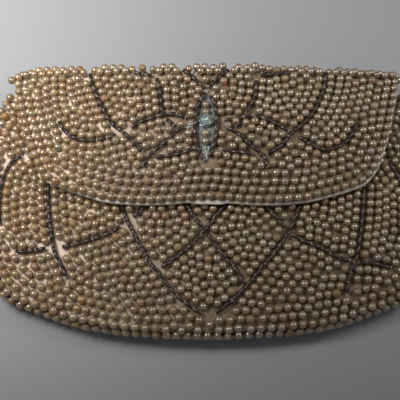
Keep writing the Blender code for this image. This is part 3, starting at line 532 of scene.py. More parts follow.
def string_of_bugles(name, path, ground, body, chance):
    """Bugles end to end along a path, from one end or junction to the other, each laid a little out of true.

    What it gives back is the path of the thread inside them and the distance along the path to each bugle's middle.
    """
    lengths = lengths_along(path)
    start = 0.0 if name in FREE_START else JUNCTION_SPACE
    end = lengths[-1] - (0.0 if name in FREE_END else JUNCTION_SPACE)
    room = end - start + BUGLE_PITCH - BUGLE_LENGTH
    count = max(1, int(room // BUGLE_PITCH))
    slack = (room - count * BUGLE_PITCH) / 2
    places = start + slack + BUGLE_LENGTH / 2 + np.arange(count) * BUGLE_PITCH
    low, high = (raised(spots_on(path, places + half)[0], ground, BUGLE_LIFT)
                 for half in (-BUGLE_LENGTH / 2, BUGLE_LENGTH / 2))
    sway = chance.normal(0, 0.00009, (2, count, 1)) * np.cross(high - low, (0, 0, 1)) / BUGLE_LENGTH
    low, high = low + sway[0], high + sway[1]
    profile = BUGLE_PROFILE * (BUGLE_LENGTH, BUGLE_RADIUS) * np.ones((count, 1, 1))
    profile[..., 1] *= chance.uniform(0.95, 1.05, (count, 1))
    rings = carried_rings((low + high) / 2, unit(high - low), np.array([0.0, 0.0, 1.0]), profile, BUGLE_SIDES)
    each = len(BUGLE_PROFILE) * BUGLE_SIDES
    k = np.arange(BUGLE_SIDES)
    n = (k + 1) % BUGLE_SIDES
    bore = np.column_stack([each - BUGLE_SIDES + k, k, n, each - BUGLE_SIDES + n])
    around = np.vstack([grid_faces(len(BUGLE_PROFILE), BUGLE_SIDES, closed=True), bore])
    made = add_mesh(name + "_bugles", rings, join_copies(around[:, ::-1], count, each), gunmetal)
    tone = chance.uniform(0.4, 1.0, (count, 1)) * np.array([[0.070, 0.042, 0.028]])
    paint_each(made, "tint", tone + chance.uniform(0, 0.012, (count, 3)), each)
    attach(made, body)
    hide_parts(name)
    inside = np.abs(lengths - (places[0] + places[-1]) / 2) <= (places[-1] - places[0] + BUGLE_LENGTH) / 2 + 0.0003
    return evenly(raised(path, ground, BUGLE_LIFT)[inside], count=3 * count + 4)[0], places


def web_of_bugles(panel, lines, half_width, drop, ground, body, seed):
    """All the strings of one panel, the thread that runs through them and the stitches over their joints.

    A stitch is half an ellipse across the string, 1.1 to 1.4 mm either way and 2.9 mm high, and leans a little.
    """
    chance = np.random.default_rng(seed)
    paths, stitches, cores = [], [], []
    for name, shares in lines.items():
        path = line_path(shares, half_width, drop)
        core, places = string_of_bugles(name, path, ground, body, chance)
        paths.append(path)
        cores.append(evenly(core, count=24)[0])
        joints = np.concatenate([[places[0] - BUGLE_PITCH / 2], places + BUGLE_PITCH / 2])
        flat, ahead = spots_on(path, joints)
        side = np.column_stack([-ahead[:, 1], ahead[:, 0]])
        lean = chance.normal(0, 0.25, (len(flat), 1)) * ahead
        across = np.linspace(-1, 1, 7)[None, :, None]
        reach = chance.uniform(0.0011, 0.0014, (len(flat), 1, 1))
        arch = flat[:, None] + across * reach * (side + lean)[:, None]
        height = 0.0002 + 0.0029 * np.sqrt(np.maximum(1 - across[..., 0] ** 2, 0)) * np.ones((len(flat), 1))
        z = ground(arch[..., 0], arch[..., 1]) + height
        stitches.append(np.concatenate([arch, z[..., None]], axis=2)[chance.random(len(flat)) < STITCHED_SHARE])
    thread = tubes(panel + "_web_thread", cores, 0.00025, 4, cream_thread)
    tacks = tubes(panel + "_web_stitches", np.concatenate(stitches), 0.00013, 4, cream_thread)
    for piece in (thread, tacks):
        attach(piece, body)
    return np.concatenate([evenly(path, spacing=0.0005)[0] for path in paths]), paths


front_web, front_paths = web_of_bugles("front", FRONT_LINES, BAG_HALF_WIDTH, BODY_DROP, front_satin_height, "pouch", 7)
flap_web, flap_paths = web_of_bugles("flap", FLAP_LINES, FLAP_HALF_WIDTH, FLAP_DROP, flap_satin_height, "flap", 8)


# Pearls. Glass beads about 4 mm across in a champagne pearl lacquer, drilled and sewn one by one in rows. The rows
# follow the bugle strings, the rim and the flap's edge, and are filled up between. Each hangs on its own stitch.

PEARL_RADIUS = 0.00205
PEARL_SEAT = 0.00195  # a pearl's centre over the satin
PEARL_PITCH = 0.0042
ROW_PITCH = 0.0039
PEARL_SPACE = 0.00425  # a pearl's width and its thread, to which pearls push apart
TOUCHING = 0.0037  # nearer than this to a pearl, a row leaves one out
CROWDED = 0.0033  # nearer than this at the end, the later pearl is taken out
WIDEST_HOLE = 0.0031  # a place farther than this from every pearl gets one
HOLE_GRID = 0.0009  # between the places that are tried
NEIGHBOURS = 0.0055  # pearls nearer than this may come to push each other


def nearest(spots, others):
    """The distance from each spot to the nearest of the others, worked out in blocks."""
    found = np.full(len(spots), 1.0)
    for start in range(0, len(others), 300):
        block = others[start:start + 300]
        gaps = ((spots[:, None] - block[None]) ** 2).sum(-1).min(1)
        found = np.minimum(found, gaps)
    return np.sqrt(found)


def inset_of(spots, outline):
    """How far inside an outline each spot lies, by the nearest point of the outline. The number is negative where a
    line from the spot to the right crosses the outline an even number of times."""
    away = nearest(spots, evenly(outline, spacing=0.001)[0])
    x, y = outline.T
    x2, y2 = np.roll(x, -1), np.roll(y, -1)
    px, py = spots[:, :1], spots[:, 1:]
    crosses = (y > py) != (y2 > py)
    slope = np.where(y2 == y, 1e-12, y2 - y)
    within = (crosses & (px < (x2 - x) * (py - y) / slope + x)).sum(1) % 2 == 1
    return np.where(within, away, -away)


def chart_of(value, half_width=0.117, low=-0.070, high=0.066, step=0.001):
    """Works a function of the place out once on a grid. What it gives back reads the values between the grid's
    places, in proportion to how near each of the four corners is."""
    xs, ys = np.arange(-half_width, half_width, step), np.arange(low, high, step)
    table = value(np.stack(np.meshgrid(xs, ys, indexing="ij"), -1).reshape(-1, 2)).reshape(len(xs), len(ys))

    def read(flat):
        u = np.clip((flat[:, 0] - xs[0]) / step, 0, len(xs) - 1.001)
        v = np.clip((flat[:, 1] - ys[0]) / step, 0, len(ys) - 1.001)
        i, j = u.astype(int), v.astype(int)
        a, b = u - i, v - j
        return ((1 - a) * ((1 - b) * table[i, j] + b * table[i, j + 1])
                + a * ((1 - b) * table[i + 1, j] + b * table[i + 1, j + 1]))

    return read


def both_sides(path, distance):
    """A loop round a path at a distance: along one side, half a turn round the end, and back along the other."""
    spots, ahead = evenly(path, spacing=0.001)
    side = np.column_stack([-ahead[:, 1], ahead[:, 0]]) * distance
    turn = np.linspace(0, math.pi, 9)[1:-1, None]
    far = spots[-1] + np.cos(turn) * side[-1] + np.sin(turn) * ahead[-1] * distance
    near = spots[0] - np.cos(turn) * side[0] - np.sin(turn) * ahead[0] * distance
    return np.vstack([spots + side, far, (spots - side)[::-1], near])


def push_apart(spots, home, stay, allowed, steps):
    """In each step a pearl moves away from all that are nearer than PEARL_SPACE, by 0.24 of what is missing, and 0.012
    of its way back home. It stays where it is if the new place isn't allowed."""
    for step in range(steps):
        if step % 6 == 0:
            gap = ((spots[:, None] - spots[None]) ** 2).sum(-1)
            one, two = np.nonzero(np.triu(gap < NEIGHBOURS**2, 1))
        apart = spots[one] - spots[two]
        gap = np.linalg.norm(apart, axis=1) + 1e-9
        push = 0.24 * apart[:, :2] * (np.clip(PEARL_SPACE - gap, 0, None) / gap)[:, None]
        move = 0.012 * (home - spots)[:, :2]
        for axis in (0, 1):
            move[:, axis] += np.bincount(one, push[:, axis], len(spots)) - np.bincount(two, push[:, axis], len(spots))
        moved = spots[:, :2] + np.where(stay[:, None], 0, move)
        keep = allowed(moved)
        spots[keep, :2] = moved[keep]
    return spots


def sew_pearls(rows, height, allowed, web, paths, area, chance, beside=0.0031, loose=(), sewn=()):
    """Where the pearls of one panel lie.

    The ones given in sewn are placed first. Rows are laid in the order given, then rows at equal distances round every
    bugle line. Within a row a pearl is dropped where it would touch one that is already there. The holes left are
    filled from the widest down, and all pearls but the fixed ones then push apart. A loose patch is (x, y, radius,
    share of the row pearls there that has come off), and its holes stay open. At the end crowded pearls are dropped,
    and a pearl that is squeezed by another rides up on it.
    """
    sewn = np.array(sewn, float).reshape(-1, 2)
    spots, turns, stay = np.column_stack([sewn, height(sewn)]), np.zeros(len(sewn)), np.ones(len(sewn), bool)
    from_web = chart_of(lambda flat: nearest(flat, web)) if len(web) else lambda flat: np.ones(len(flat))

    def clear_of_web(flat):
        return allowed(flat) & (from_web(flat) > beside - 0.0002)

    guides = [(path, spacing, fixed, 0.0) for path, spacing, fixed in rows]
    for step in range(14):
        guides += [(both_sides(path, beside + step * ROW_PITCH), PEARL_PITCH, False,
                    beside + step * ROW_PITCH) for path in paths]
    for path, spacing, fixed, least in guides:
        flat, ahead = evenly(path, spacing=spacing, start=chance.uniform(0, spacing))
        clear = (from_web(flat) > least - 0.0002) & (fixed | clear_of_web(flat))
        flat = flat + chance.normal(0, 0.0001, flat.shape)
        there, ahead = np.column_stack([flat, height(flat)])[clear], ahead[clear]
        if len(spots) and len(there):
            clear = nearest(there, spots) > TOUCHING
            there, ahead = there[clear], ahead[clear]
        spots = np.vstack([spots, there])
        turns = np.concatenate([turns, np.arctan2(ahead[:, 1], ahead[:, 0])])
        stay = np.concatenate([stay, np.full(len(there), fixed)])
    for x, y, radius, share in loose:
        gone = (np.hypot(spots[:, 0] - x, spots[:, 1] - y) < radius) & (chance.random(len(spots)) < share) & ~stay
        spots, turns, stay = spots[~gone], turns[~gone], stay[~gone]
    grid = np.stack(np.meshgrid(np.arange(*area[:2], HOLE_GRID), np.arange(*area[2:], HOLE_GRID)), -1)
    grid = grid.reshape(-1, 2) + chance.normal(0, 0.0002, (grid.size // 2, 2))
    grid = grid[clear_of_web(grid)]
    for x, y, radius, share in loose:
        grid = grid[np.hypot(grid[:, 0] - x, grid[:, 1] - y) > radius]
    grid = np.column_stack([grid, height(grid)])
    for widest_left in (0.0032, WIDEST_HOLE, WIDEST_HOLE, WIDEST_HOLE):
        gaps = nearest(grid, spots)
        added = []
        while len(gaps) and gaps.max() > widest_left and len(added) < 900:
            widest = int(gaps.argmax())
            added.append(grid[widest])
            gaps = np.minimum(gaps, np.linalg.norm(grid - grid[widest], axis=1))
        if added:
            added = np.array(added)
            like = [turns[int(((spots - a) ** 2).sum(1).argmin())] for a in added]
            spots, turns = np.vstack([spots, added]), np.concatenate([turns, like])
            stay = np.concatenate([stay, np.zeros(len(added), bool)])
        spots = push_apart(spots, spots.copy(), stay, clear_of_web, 30)
        spots[:, 2] = height(spots[:, :2])
    gap = np.linalg.norm(spots[:, None] - spots[None], axis=-1)
    crowded = (np.tril(gap < CROWDED, -1) & ~stay[:, None]).any(1)
    spots, turns, stay, gap = spots[~crowded], turns[~crowded], stay[~crowded], gap[~crowded][:, ~crowded]
    tight = np.where(np.tril(np.ones_like(gap, bool), -1), np.clip(ROW_PITCH**2 - gap**2, 0, None), 0).max(1)
    spots[:, 2] += np.where(stay, 0, 0.6 * np.sqrt(tight) + chance.uniform(0, 0.00015, len(spots)))
    return spots, turns


def pearl_profile():
    """A drilled ball as (length, radius) points: cosine and sine of seven angles, with the bore sunk at both ends."""
    angle = np.radians([168, 142, 116, 90, 64, 38, 12])
    ball = np.column_stack([np.cos(angle), np.sin(angle)])
    return np.vstack([(-0.80, 0.0), ball, (0.80, 0.0)])


def pearl_mesh(name, centres, along, up, chance):
    """Pearls of slightly different size at the centres, each with its bore along its row.

    Each has one of six lacquer colours, made lighter or darker by chance, and a dullness from 0 to 1. From x = 3 mm
    to x = -67 mm, towards the main lamp, the tint goes lighter and less yellow as painted light, and the lacquer a
    little duller.
    """
    count, sides = len(centres), 8
    profile = pearl_profile()[None] * (PEARL_RADIUS * chance.normal(1, 0.022, (count, 1, 1)).clip(0.93, 1.05))
    profile = profile * np.stack([chance.uniform(0.94, 1.02, count), np.ones(count)], -1)[:, None]
    rings = carried_rings(centres, along, up, profile, sides)
    each = 2 + 7 * sides
    body = rings[:, 1:-1].reshape(count, -1, 3)
    vertices = np.concatenate([rings[:, 0, :1], body, rings[:, -1, :1]], axis=1)
    quads = grid_faces(7, sides, closed=True) + 1
    k = np.arange(sides)
    n = (k + 1) % sides
    start = np.column_stack([np.zeros(sides, int), 1 + k, 1 + n])
    finish = np.column_stack([np.full(sides, each - 1), 1 + 6 * sides + n, 1 + 6 * sides + k])
    faces = join_copies(quads[:, ::-1], count, each).tolist()
    faces += join_copies(start[:, ::-1], count, each).tolist() + join_copies(finish[:, ::-1], count, each).tolist()
    made = add_mesh(name, vertices, faces, pearl)
    kinds = np.array([(0.195, 0.122, 0.050), (0.21, 0.123, 0.064), (0.172, 0.132, 0.048), (0.200, 0.140, 0.090),
                      (0.210, 0.102, 0.028), (0.245, 0.182, 0.085)])
    chosen = kinds[chance.choice(6, count, p=(0.42, 0.17, 0.12, 0.09, 0.10, 0.10))]
    # Painted light: pearls towards the main lamp at the left end get lighter tints.
    painted_light_share = np.clip((0.003 - centres[:, :1]) / 0.07, 0, 1)
    chosen = chosen * (0.86 + painted_light_share * (0.36, 0.29, 0.15))
    paint_each(made, "tint", chosen * chance.normal(1, 0.09, (count, 1)).clip(0.7, 1.25), each)
    dull = np.where(chance.random(count) < 0.13, chance.uniform(0.4, 1.0, count), chance.uniform(0.0, 0.2, count))
    paint_each(made, "dull", np.clip(dull + 0.22 * painted_light_share[:, 0], 0, 1), each)
    return made


def pearl_material():
    """Pearl lacquer over glass: the bead's own tint clouds a little and lies under a hard gloss that worn beads have
    lost.
    By the angle to the eye it goes warmer and deeper where it faces the eye and paler at the edge, a painted glow for
    light reflected and bounced at the rim."""
    made, tree, shader = new_material("champagne_pearl")
    tint = add_node(tree, "ShaderNodeAttribute", attribute_name="tint").outputs["Color"]
    dull = add_node(tree, "ShaderNodeAttribute", attribute_name="dull").outputs["Fac"]
    cloud = noise(tree, place_on(tree), 700.0, 2.0)
    # Painted glow: by the angle to the eye, the tint is deeper in the middle and paler at the rim.
    edge = add_node(tree, "ShaderNodeLayerWeight", {"Blend": 0.35}).outputs["Facing"]
    deep = mix(tree, cloud, tint, (0.17, 0.10, 0.05, 1.0))
    mixed = mix(tree, sum_of(tree, 0.62, edge, 0.38), deep, tint)
    set_inputs(tree, shader, {
        "Base Color": mix(tree, sum_of(tree, 0.0, edge, 0.42), mixed, (0.52, 0.385, 0.215, 1.0)),
        "Roughness": sum_of(tree, 0.20, dull, 0.4), "Normal": bumped(tree, cloud, 0.00012, 0.35), "IOR": 1.5,
        "Subsurface Weight": 0.3, "Subsurface Radius": (1.0, 0.7, 0.4), "Subsurface Scale": 0.0012,
        "Coat Weight": sum_of(tree, 1.0, dull, -0.75), "Coat Roughness": 0.04, "Coat IOR": 2.6,
    })
    return made


pearl = pearl_material()


def sewing_stitches(name, centres, along, out):
    """The thread of each pearl: through its bore and down into the satin on either side."""
    run = np.array([-0.00235, -0.0018, 0.0, 0.0018, 0.00235])
    drop = np.array([0.0017, 0.0003, 0.0, 0.0003, 0.0017])
    paths = centres[:, None] + run[None, :, None] * along[:, None] - drop[None, :, None] * out
    return tubes(name, paths, 0.00011, 3, cream_thread)


def sew_panel(panel, node, centres, turns, axes, body, seed):
    """The pearls of a panel and their thread. axes are the panel's two directions and the way that it faces."""
    chance = np.random.default_rng(seed)
    across, down, out = np.array(axes, float)
    along = np.cos(turns)[:, None] * across + np.sin(turns)[:, None] * down
    pearls = pearl_mesh(panel + "_pearls", centres, along, out, chance)
    thread = sewing_stitches(panel + "_pearl_thread", centres, along, out)
    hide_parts(node)
    for piece in (pearls, thread):
        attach(piece, body)


def inset_path(outline, inset):
    """An outline drawn in by a distance, square to itself."""
    spots, ahead = evenly(outline, spacing=0.001)
    return spots + np.column_stack([ahead[:, 1], -ahead[:, 0]]) * inset


def level_rows(first, last, half, pitch):
    """Straight rows across a panel, from the first height down to the last."""
    ys = np.arange(first, last, -pitch)
    return [np.array([(-half, y), (half, y)]) for y in ys]


# Back pearls. Three rows turn up round the rim to the seam, and straight rows fill the flat back between them.

inside_body = chart_of(lambda flat: inset_of(flat, body_outline))


def back_pearl_height(flat):
    """The pearl's seat plus the back's rise, and near the rim up to 1.4 mm more for the turned-up rows."""
    lift = np.interp(inside_body(flat), [0.0026, 0.0063, 0.0100], [0.0014, 0.00035, 0.0])
    return PEARL_SEAT + rise(flat[:, 0], flat[:, 1]) + lift


def back_allowed(flat):
    """The flat of the back, inside the three turned-up rows and below the fold's row."""
    return (inside_body(flat) > 0.0080) & (flat[:, 1] < FOLD_Y - 0.0038)


def below(path, top):
    """The part of a path that lies below a height."""
    return path[path[:, 1] < top]


chance = np.random.default_rng(11)
back_rows = [(below(inset_path(body_outline, inset), FOLD_Y - 0.0038), 0.0043, True) for inset in
             (0.0026, 0.0063, 0.0103)]
back_rows += [(row, 0.0044, False) for row in level_rows(FOLD_Y - 0.0040, -0.066, 0.112, 0.0043)]
spots, turns = sew_pearls(back_rows, back_pearl_height, back_allowed, np.empty((0, 2)), [],
                          (-0.112, 0.112, -0.066, FOLD_Y), chance)
DOWN = ((1, 0, 0), (0, 1, 0), (0, 0, -1))
UP = ((1, 0, 0), (0, 1, 0), (0, 0, 1))
sew_panel("back", "back_bead_panel", spots, turns, DOWN, "pouch", 21)


# Front pearls. One row is turned down over the rim, three more follow it and one follows the mouth, and the rest
# follow the bugle web. A round clearing is left for the press stud under the flap.

SNAP_Y = FOLD_Y - 0.058
SNAP_CLEARING = 0.0078


def front_pearl_height(flat):
    """The satin's height plus the pearl's seat, less up to 3.6 mm where the row turns down over the rim."""
    turn = np.clip((0.0043 - inside_body(flat)) / 0.0024, 0, 1)
    return FRONT_SATIN_Z + PEARL_SEAT - fall(flat[:, 0], flat[:, 1]) - 0.0036 * turn**1.5


def front_allowed(flat):
    """Inside the shoulder of the rim, below the mouth and outside the press stud's clearing."""
    clear_of_snap = np.hypot(flat[:, 0], flat[:, 1] - SNAP_Y) > SNAP_CLEARING
    return (inside_body(flat) > 0.0036) & (flat[:, 1] < MOUTH_Y - 0.0019) & clear_of_snap


chance = np.random.default_rng(12)
front_rows = [(below(inset_path(body_outline, inset), MOUTH_Y - 0.0018), spacing, stay) for inset, spacing, stay in
              ((0.0019, 0.0046, True), (0.0038, 0.0047, True), (0.0080, 0.0047, False), (0.0121, 0.0047, False))]
front_rows += [(np.array([(-0.09, MOUTH_Y - 0.0021), (0.09, MOUTH_Y - 0.0021)]), 0.0045, False)]
spots, turns = sew_pearls(front_rows, front_pearl_height, front_allowed, front_web, front_paths,
                          (-0.112, 0.112, -0.066, MOUTH_Y), chance, beside=0.0034,
                          loose=((-0.096, -0.036, 0.0045, 0.0), (-0.060, -0.047, 0.004, 0.0),
                                 (-0.048, -0.058, 0.004, 0.0), (-0.100, -0.012, 0.004, 0.0),
                                 (-0.086, -0.044, 0.004, 0.0)))
sew_panel("front", "front_bead_panel", spots, turns, UP, "pouch", 22)


# Flap pearls. Four rows follow the bound edge and one the fold, and the rest follow the bugle web. Towards the left end
# the sewing is looser, so that the satin shows.

STONE = np.array([-0.007 * FLAP_HALF_WIDTH, FOLD_Y - 0.396 * FLAP_DROP])


def flap_pearl_height(flat):
    """The satin's height plus the pearl's seat."""
    return FLAP_SATIN_Z + PEARL_SEAT - fall(flat[:, 0], flat[:, 1])


inside_flap = chart_of(lambda flat: inset_of(flat, flap_outline))


def flap_allowed(flat):
    """Inside the binding or at the fold, and outside the almond, which holds only the pearls placed one by one."""
    x, drop = flat[:, 0], FOLD_Y - flat[:, 1]
    almond = (np.abs(x + 0.0006) < 0.0052) & (drop > 0.2 * FLAP_DROP) & (drop < 0.73 * FLAP_DROP)
    inside = (inside_flap(flat) > 0.0012) | (drop < 0.0016)
    return inside & (np.abs(x) < 0.0945) & (drop > -0.0002) & ~almond


# In millimetres: pearls beside the almond, placed one by one, and spots that the photo shows bare.
BESIDE_ALMOND = np.array([
    (-7.6, 51.2), (-4.8, 48.4), (-10.8, 45.9), (-7.2, 43.6), (-7.9, 39.3), (-12.0, 41.6), (-12.7, 33.6),
    (-9.0, 28.8), (-13.4, 26.1), (-8.7, 24.6), (-16.9, 24.0), (-18.5, 31.0), (4.4, 53.6), (4.6, 48.5), (8.0, 51.6),
    (6.6, 44.6), (6.8, 40.4), (10.8, 45.5), (10.9, 41.3), (10.0, 33.0), (13.9, 35.4), (7.2, 28.6), (10.9, 26.2),
    (6.6, 24.2),
]) / 1000
BARE_SPOTS = ((-91, 39), (-91, 44), (-87, 29), (-84, 23), (-83, 53), (-83, 47), (-70.5, 47), (-77, 29), (-92, 20),
              (-80, 10), (-62, 59))
chance = np.random.default_rng(13)
flap_rows = [(below(inset_path(flap_outline, inset), FOLD_Y - 0.0030), 0.0046, inset < 0.003) for inset in
             (0.0015, 0.0058, 0.0101, 0.0144)]
flap_rows.insert(1, (np.array([(-0.0935, FOLD_Y - 0.0002), (0.0940, FOLD_Y - 0.0002)]), 0.0042, False))
spots, turns = sew_pearls(flap_rows, flap_pearl_height, flap_allowed, flap_web, flap_paths,
                          (-0.095, 0.095, -0.007, FOLD_Y), chance,
                          loose=[(x / 1000, y / 1000, 0.0040, 0.0) for x, y in BARE_SPOTS], sewn=BESIDE_ALMOND)
almond_spots = np.array([(-0.0006, 0.0443), (-0.0006, 0.0402), (-0.0009, 0.0288), (-0.0009, 0.0245)])
on_fold = spots[:, 1] > FOLD_Y - 0.0014
spots[on_fold, 2] += 0.0004  # clears the spine's satin when the flap is open
top_row = np.sort(spots[on_fold, 0])
corner_spots = np.array([(-0.0973, 0.0597, 0.0213), (0.0968, 0.0600, 0.0210)])
spots = np.vstack([spots, np.column_stack([almond_spots, flap_pearl_height(almond_spots)]), corner_spots])
turns = np.concatenate([turns, np.zeros(len(spots) - len(turns))])
sew_panel("flap", "flap_bead_panel", spots, turns, UP, "flap", 23)


# Almond ground and loose threads. A leaf of silver-grey lame is laid on the satin between the two sides of the almond.
# Knots of silver thread fasten the web round it, and one red-brown thread end lies loose on the right.

lame = cloth_material("silver_grey_lame", (0.11, 0.12, 0.115), (0.25, 0.265, 0.255), 900.0, 0.3, 0.3, 0.0002)
sides = [evenly(flap_paths[list(FLAP_LINES).index(name)], count=41)[0]
         for name in ("flap_left_almond_side", "flap_right_almond_side")]
across = np.linspace(0, 1, 9)[:, None, None]
leaf = (sides[0] * (1 - across) + sides[1] * across)[:, 1:-1]
leaf_z = flap_satin_height(leaf[..., 0], leaf[..., 1]) + 0.00025
almond_ground = add_mesh("almond_ground", np.concatenate([leaf, leaf_z[..., None]], -1),
                         grid_faces(9, 39)[:, ::-1], lame)
thicken(almond_ground, 0.0002)
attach(almond_ground, "flap")


def thread_knots(name, spots, sizes, material, chance):
    """Knots of thread lying on the satin. Each is one closed curve of a size r, turned by a random angle: r times the
    cosine of 2t, r times the sine of 3t, and 0.35 r times one plus the sine of 5t."""
    t = np.linspace(0, math.tau, 64)
    turn = chance.uniform(0, math.tau, (len(spots), 1))
    x, y = np.cos(2 * t)[None], np.sin(3 * t)[None]
    curve = np.stack([x * np.cos(turn) - y * np.sin(turn), x * np.sin(turn) + y * np.cos(turn),
                      0.35 * (1 + np.sin(5 * t))[None] + 0 * turn], -1)
    spots = np.column_stack([spots, flap_satin_height(spots[:, 0], spots[:, 1]) + 0.0006])
    return tubes(name, spots[:, None] + curve * np.array(sizes)[:, None, None], 0.00022, 5, material)


knot_spots = np.array([(-8.3, 32.0), (-7.6, 34.6), (3.4, 51.0), (-5.0, 36.9), (4.4, 36.6), (-0.4, 21.2), (-0.7, 52.4),
                       (-1.4, 18.8), (0.6, 18.3), (-0.6, 16.4)]) / 1000
knots = thread_knots("web_knots", knot_spots, [0.0017, 0.0009, 0.0008, 0.0011, 0.0009, 0.0012, 0.0009, 0.0010, 0.0010,
                                               0.0009], thread_material("silver_thread", (0.66, 0.68, 0.66)),
                     np.random.default_rng(9))
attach(knots, "flap")
red_thread = thread_material("red_brown_thread", (0.30, 0.055, 0.030))
stray = np.array([(0.0092, 0.0585), (0.0088, 0.0560), (0.0094, 0.0535), (0.0091, 0.0515), (0.0097, 0.0495)])
stray = np.column_stack([smooth_path(stray), FLAP_SATIN_Z + 0.0030 + 0.0008 * np.sin(np.linspace(0, 6, 49))])
loose_thread = tubes("stray_red_thread", stray[None], 0.00028, 6, red_thread)
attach(loose_thread, "flap")


# Spine pearls. Rows run along the narrow spine, and one row lies on each fold line.

def spine_allowed(flat):
    """Between the two folds. Here a place is (x, z), since the spine stands upright."""
    foot = spine_foot(flat[:, 0])[1] + 0.0038
    head = spine_head(flat[:, 0])[1] - 0.0038
    return (flat[:, 1] > foot) & (flat[:, 1] < head) & (np.abs(flat[:, 0]) < 0.0895)


chance = np.random.default_rng(14)
x = np.linspace(-0.0895, 0.0895, 90)
spine_rows = [(np.column_stack([x, spine_foot(x)[1] + 0.0040]), 0.0044, False),
              (np.column_stack([x, spine_head(x)[1] - 0.0040]), 0.0044, False)]
spots, turns = sew_pearls(spine_rows, lambda flat: 0 * flat[:, 0], spine_allowed, np.empty((0, 2)), [],
                          (-0.09, 0.09, 0.0, 0.022), chance)
spots = np.column_stack([spots[:, 0], np.full(len(spots), FOLD_Y + 0.0021), spots[:, 1]])
OUT = ((1, 0, 0), (0, 0, 1), (0, 1, 0))
sew_panel("spine", "spine_bead_strip", spots, turns, OUT, "spine", 24)


FOLD_AWAY = 0.0030
FOLD_NEAR = 0.0022


def fold_row(name, x, centre, out, seed, away=FOLD_AWAY):
    """One row of pearls on a fold line: away from the corner on its outside. It sags as a square by 1.4 mm at the right
    end, and by 1.2 mm in the last 9 mm at the left end."""
    row_chance = np.random.default_rng(seed)
    y, z = centre(x)
    away = away + row_chance.normal(0, 0.0003, (2, len(x)))
    sag = 0.0014 * np.clip((x - 0.03) / 0.066, 0, 1) ** 2 + 0.0012 * np.clip((-x - 0.088) / 0.009, 0, 1)
    centres = np.column_stack([x, y + away[0] * out[1] - sag, z + away[1] * out[2] - sag])
    along = np.tile([1.0, 0.0, 0.0], (len(x), 1))
    pearls = pearl_mesh(name + "_pearls", centres, along, np.array(out), row_chance)
    thread = sewing_stitches(name + "_thread", centres, along, np.array(out))
    for piece in (pearls, thread):
        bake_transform(piece)


half = math.sqrt(0.5)
fold_row("back_fold", np.arange(-0.0915, 0.0915, 0.0042), spine_foot, (0, half, -half), 25)

# The flap's fold row lies between the pearls of the flap's top row, keeps 2.4 mm from the bugle lines that reach the
# fold, and fills holes wider than 3.4 mm. It lies nearer the fold where the top row has no pearl beside it.
reach_fold = np.array([line[0][0] / 1000 * FLAP_HALF_WIDTH for line in FLAP_LINES.values() if line[0][1] < 0])
between = np.concatenate([[top_row[0] - 0.0024], (top_row[1:] + top_row[:-1])[np.diff(top_row) < 0.0060] / 2,
                          [top_row[-1] + 0.0022]])
free = np.arange(-0.0960, 0.0962, 0.0002)
free = free[np.abs(free[:, None] - reach_fold).min(1) > 0.0024]
for _ in range(20):
    gaps = np.abs(free[:, None] - between).min(1)
    if gaps.max() < 0.0034:
        break
    between = np.append(between, free[gaps.argmax()])
away = np.where(np.abs(between[:, None] - top_row).min(1) > 0.0027, FOLD_NEAR, FOLD_AWAY)
fold_row("flap_fold", between, spine_head, (0, 0.94, 0.34), 26, away)


# Clear stone. A faceted glass stone over silver foil, held in a small metal cup by six claws, sits in the almond.

def turned(name, centre, profile, sides, material, smooth=True, twist=0.0):
    """A turned piece: the profile's (radius, height) points carried round an upright axis."""
    profile = np.array(profile)
    turn = np.arange(sides) * math.tau / sides + twist
    rings = np.stack([profile[:, :1] * np.cos(turn), profile[:, :1] * np.sin(turn),
                      np.repeat(profile[:, 1:], sides, 1)], -1) + np.array(centre)
    return add_mesh(name, rings, grid_faces(len(profile), sides, closed=True), material, smooth)


def metal_material(name, colour, roughness):
    """Plated metal with fine scratches and duller spots."""
    made, tree, shader = new_material(name)
    worn = noise(tree, place_on(tree), 900.0, 4.0)
    set_inputs(tree, shader, {
        "Base Color": mix(tree, worn, (*colour, 1.0), (*(0.6 * c for c in colour), 1.0)),
        "Roughness": sum_of(tree, roughness, worn, 0.2), "Metallic": 1.0,
    })
    return made


silver = metal_material("silver_plate", (0.78, 0.78, 0.76), 0.12)
foil = metal_material("silver_foil", (0.62, 0.67, 0.67), 0.14)
glass, tree, shader = new_material("clear_glass")
set_inputs(tree, shader, {"Base Color": (0.74, 0.82, 0.81, 1.0), "Roughness": 0.03, "Transmission Weight": 0.88,
                          "IOR": 1.55})

stone_z = float(flap_satin_height(STONE[0], STONE[1]))
stone_base = (*STONE, stone_z + 0.0004)


def close_ends(obj):
    """Merges the points of a turned piece that lie on its axis, which closes it, and turns its faces outwards."""
    work = bmesh.new()
    work.from_mesh(obj.data)
    bmesh.ops.remove_doubles(work, verts=work.verts, dist=1e-7)
    bmesh.ops.dissolve_degenerate(work, edges=work.edges, dist=1e-7)
    bmesh.ops.recalc_face_normals(work, faces=work.faces)
    work.to_mesh(obj.data)
    work.free()
    return obj


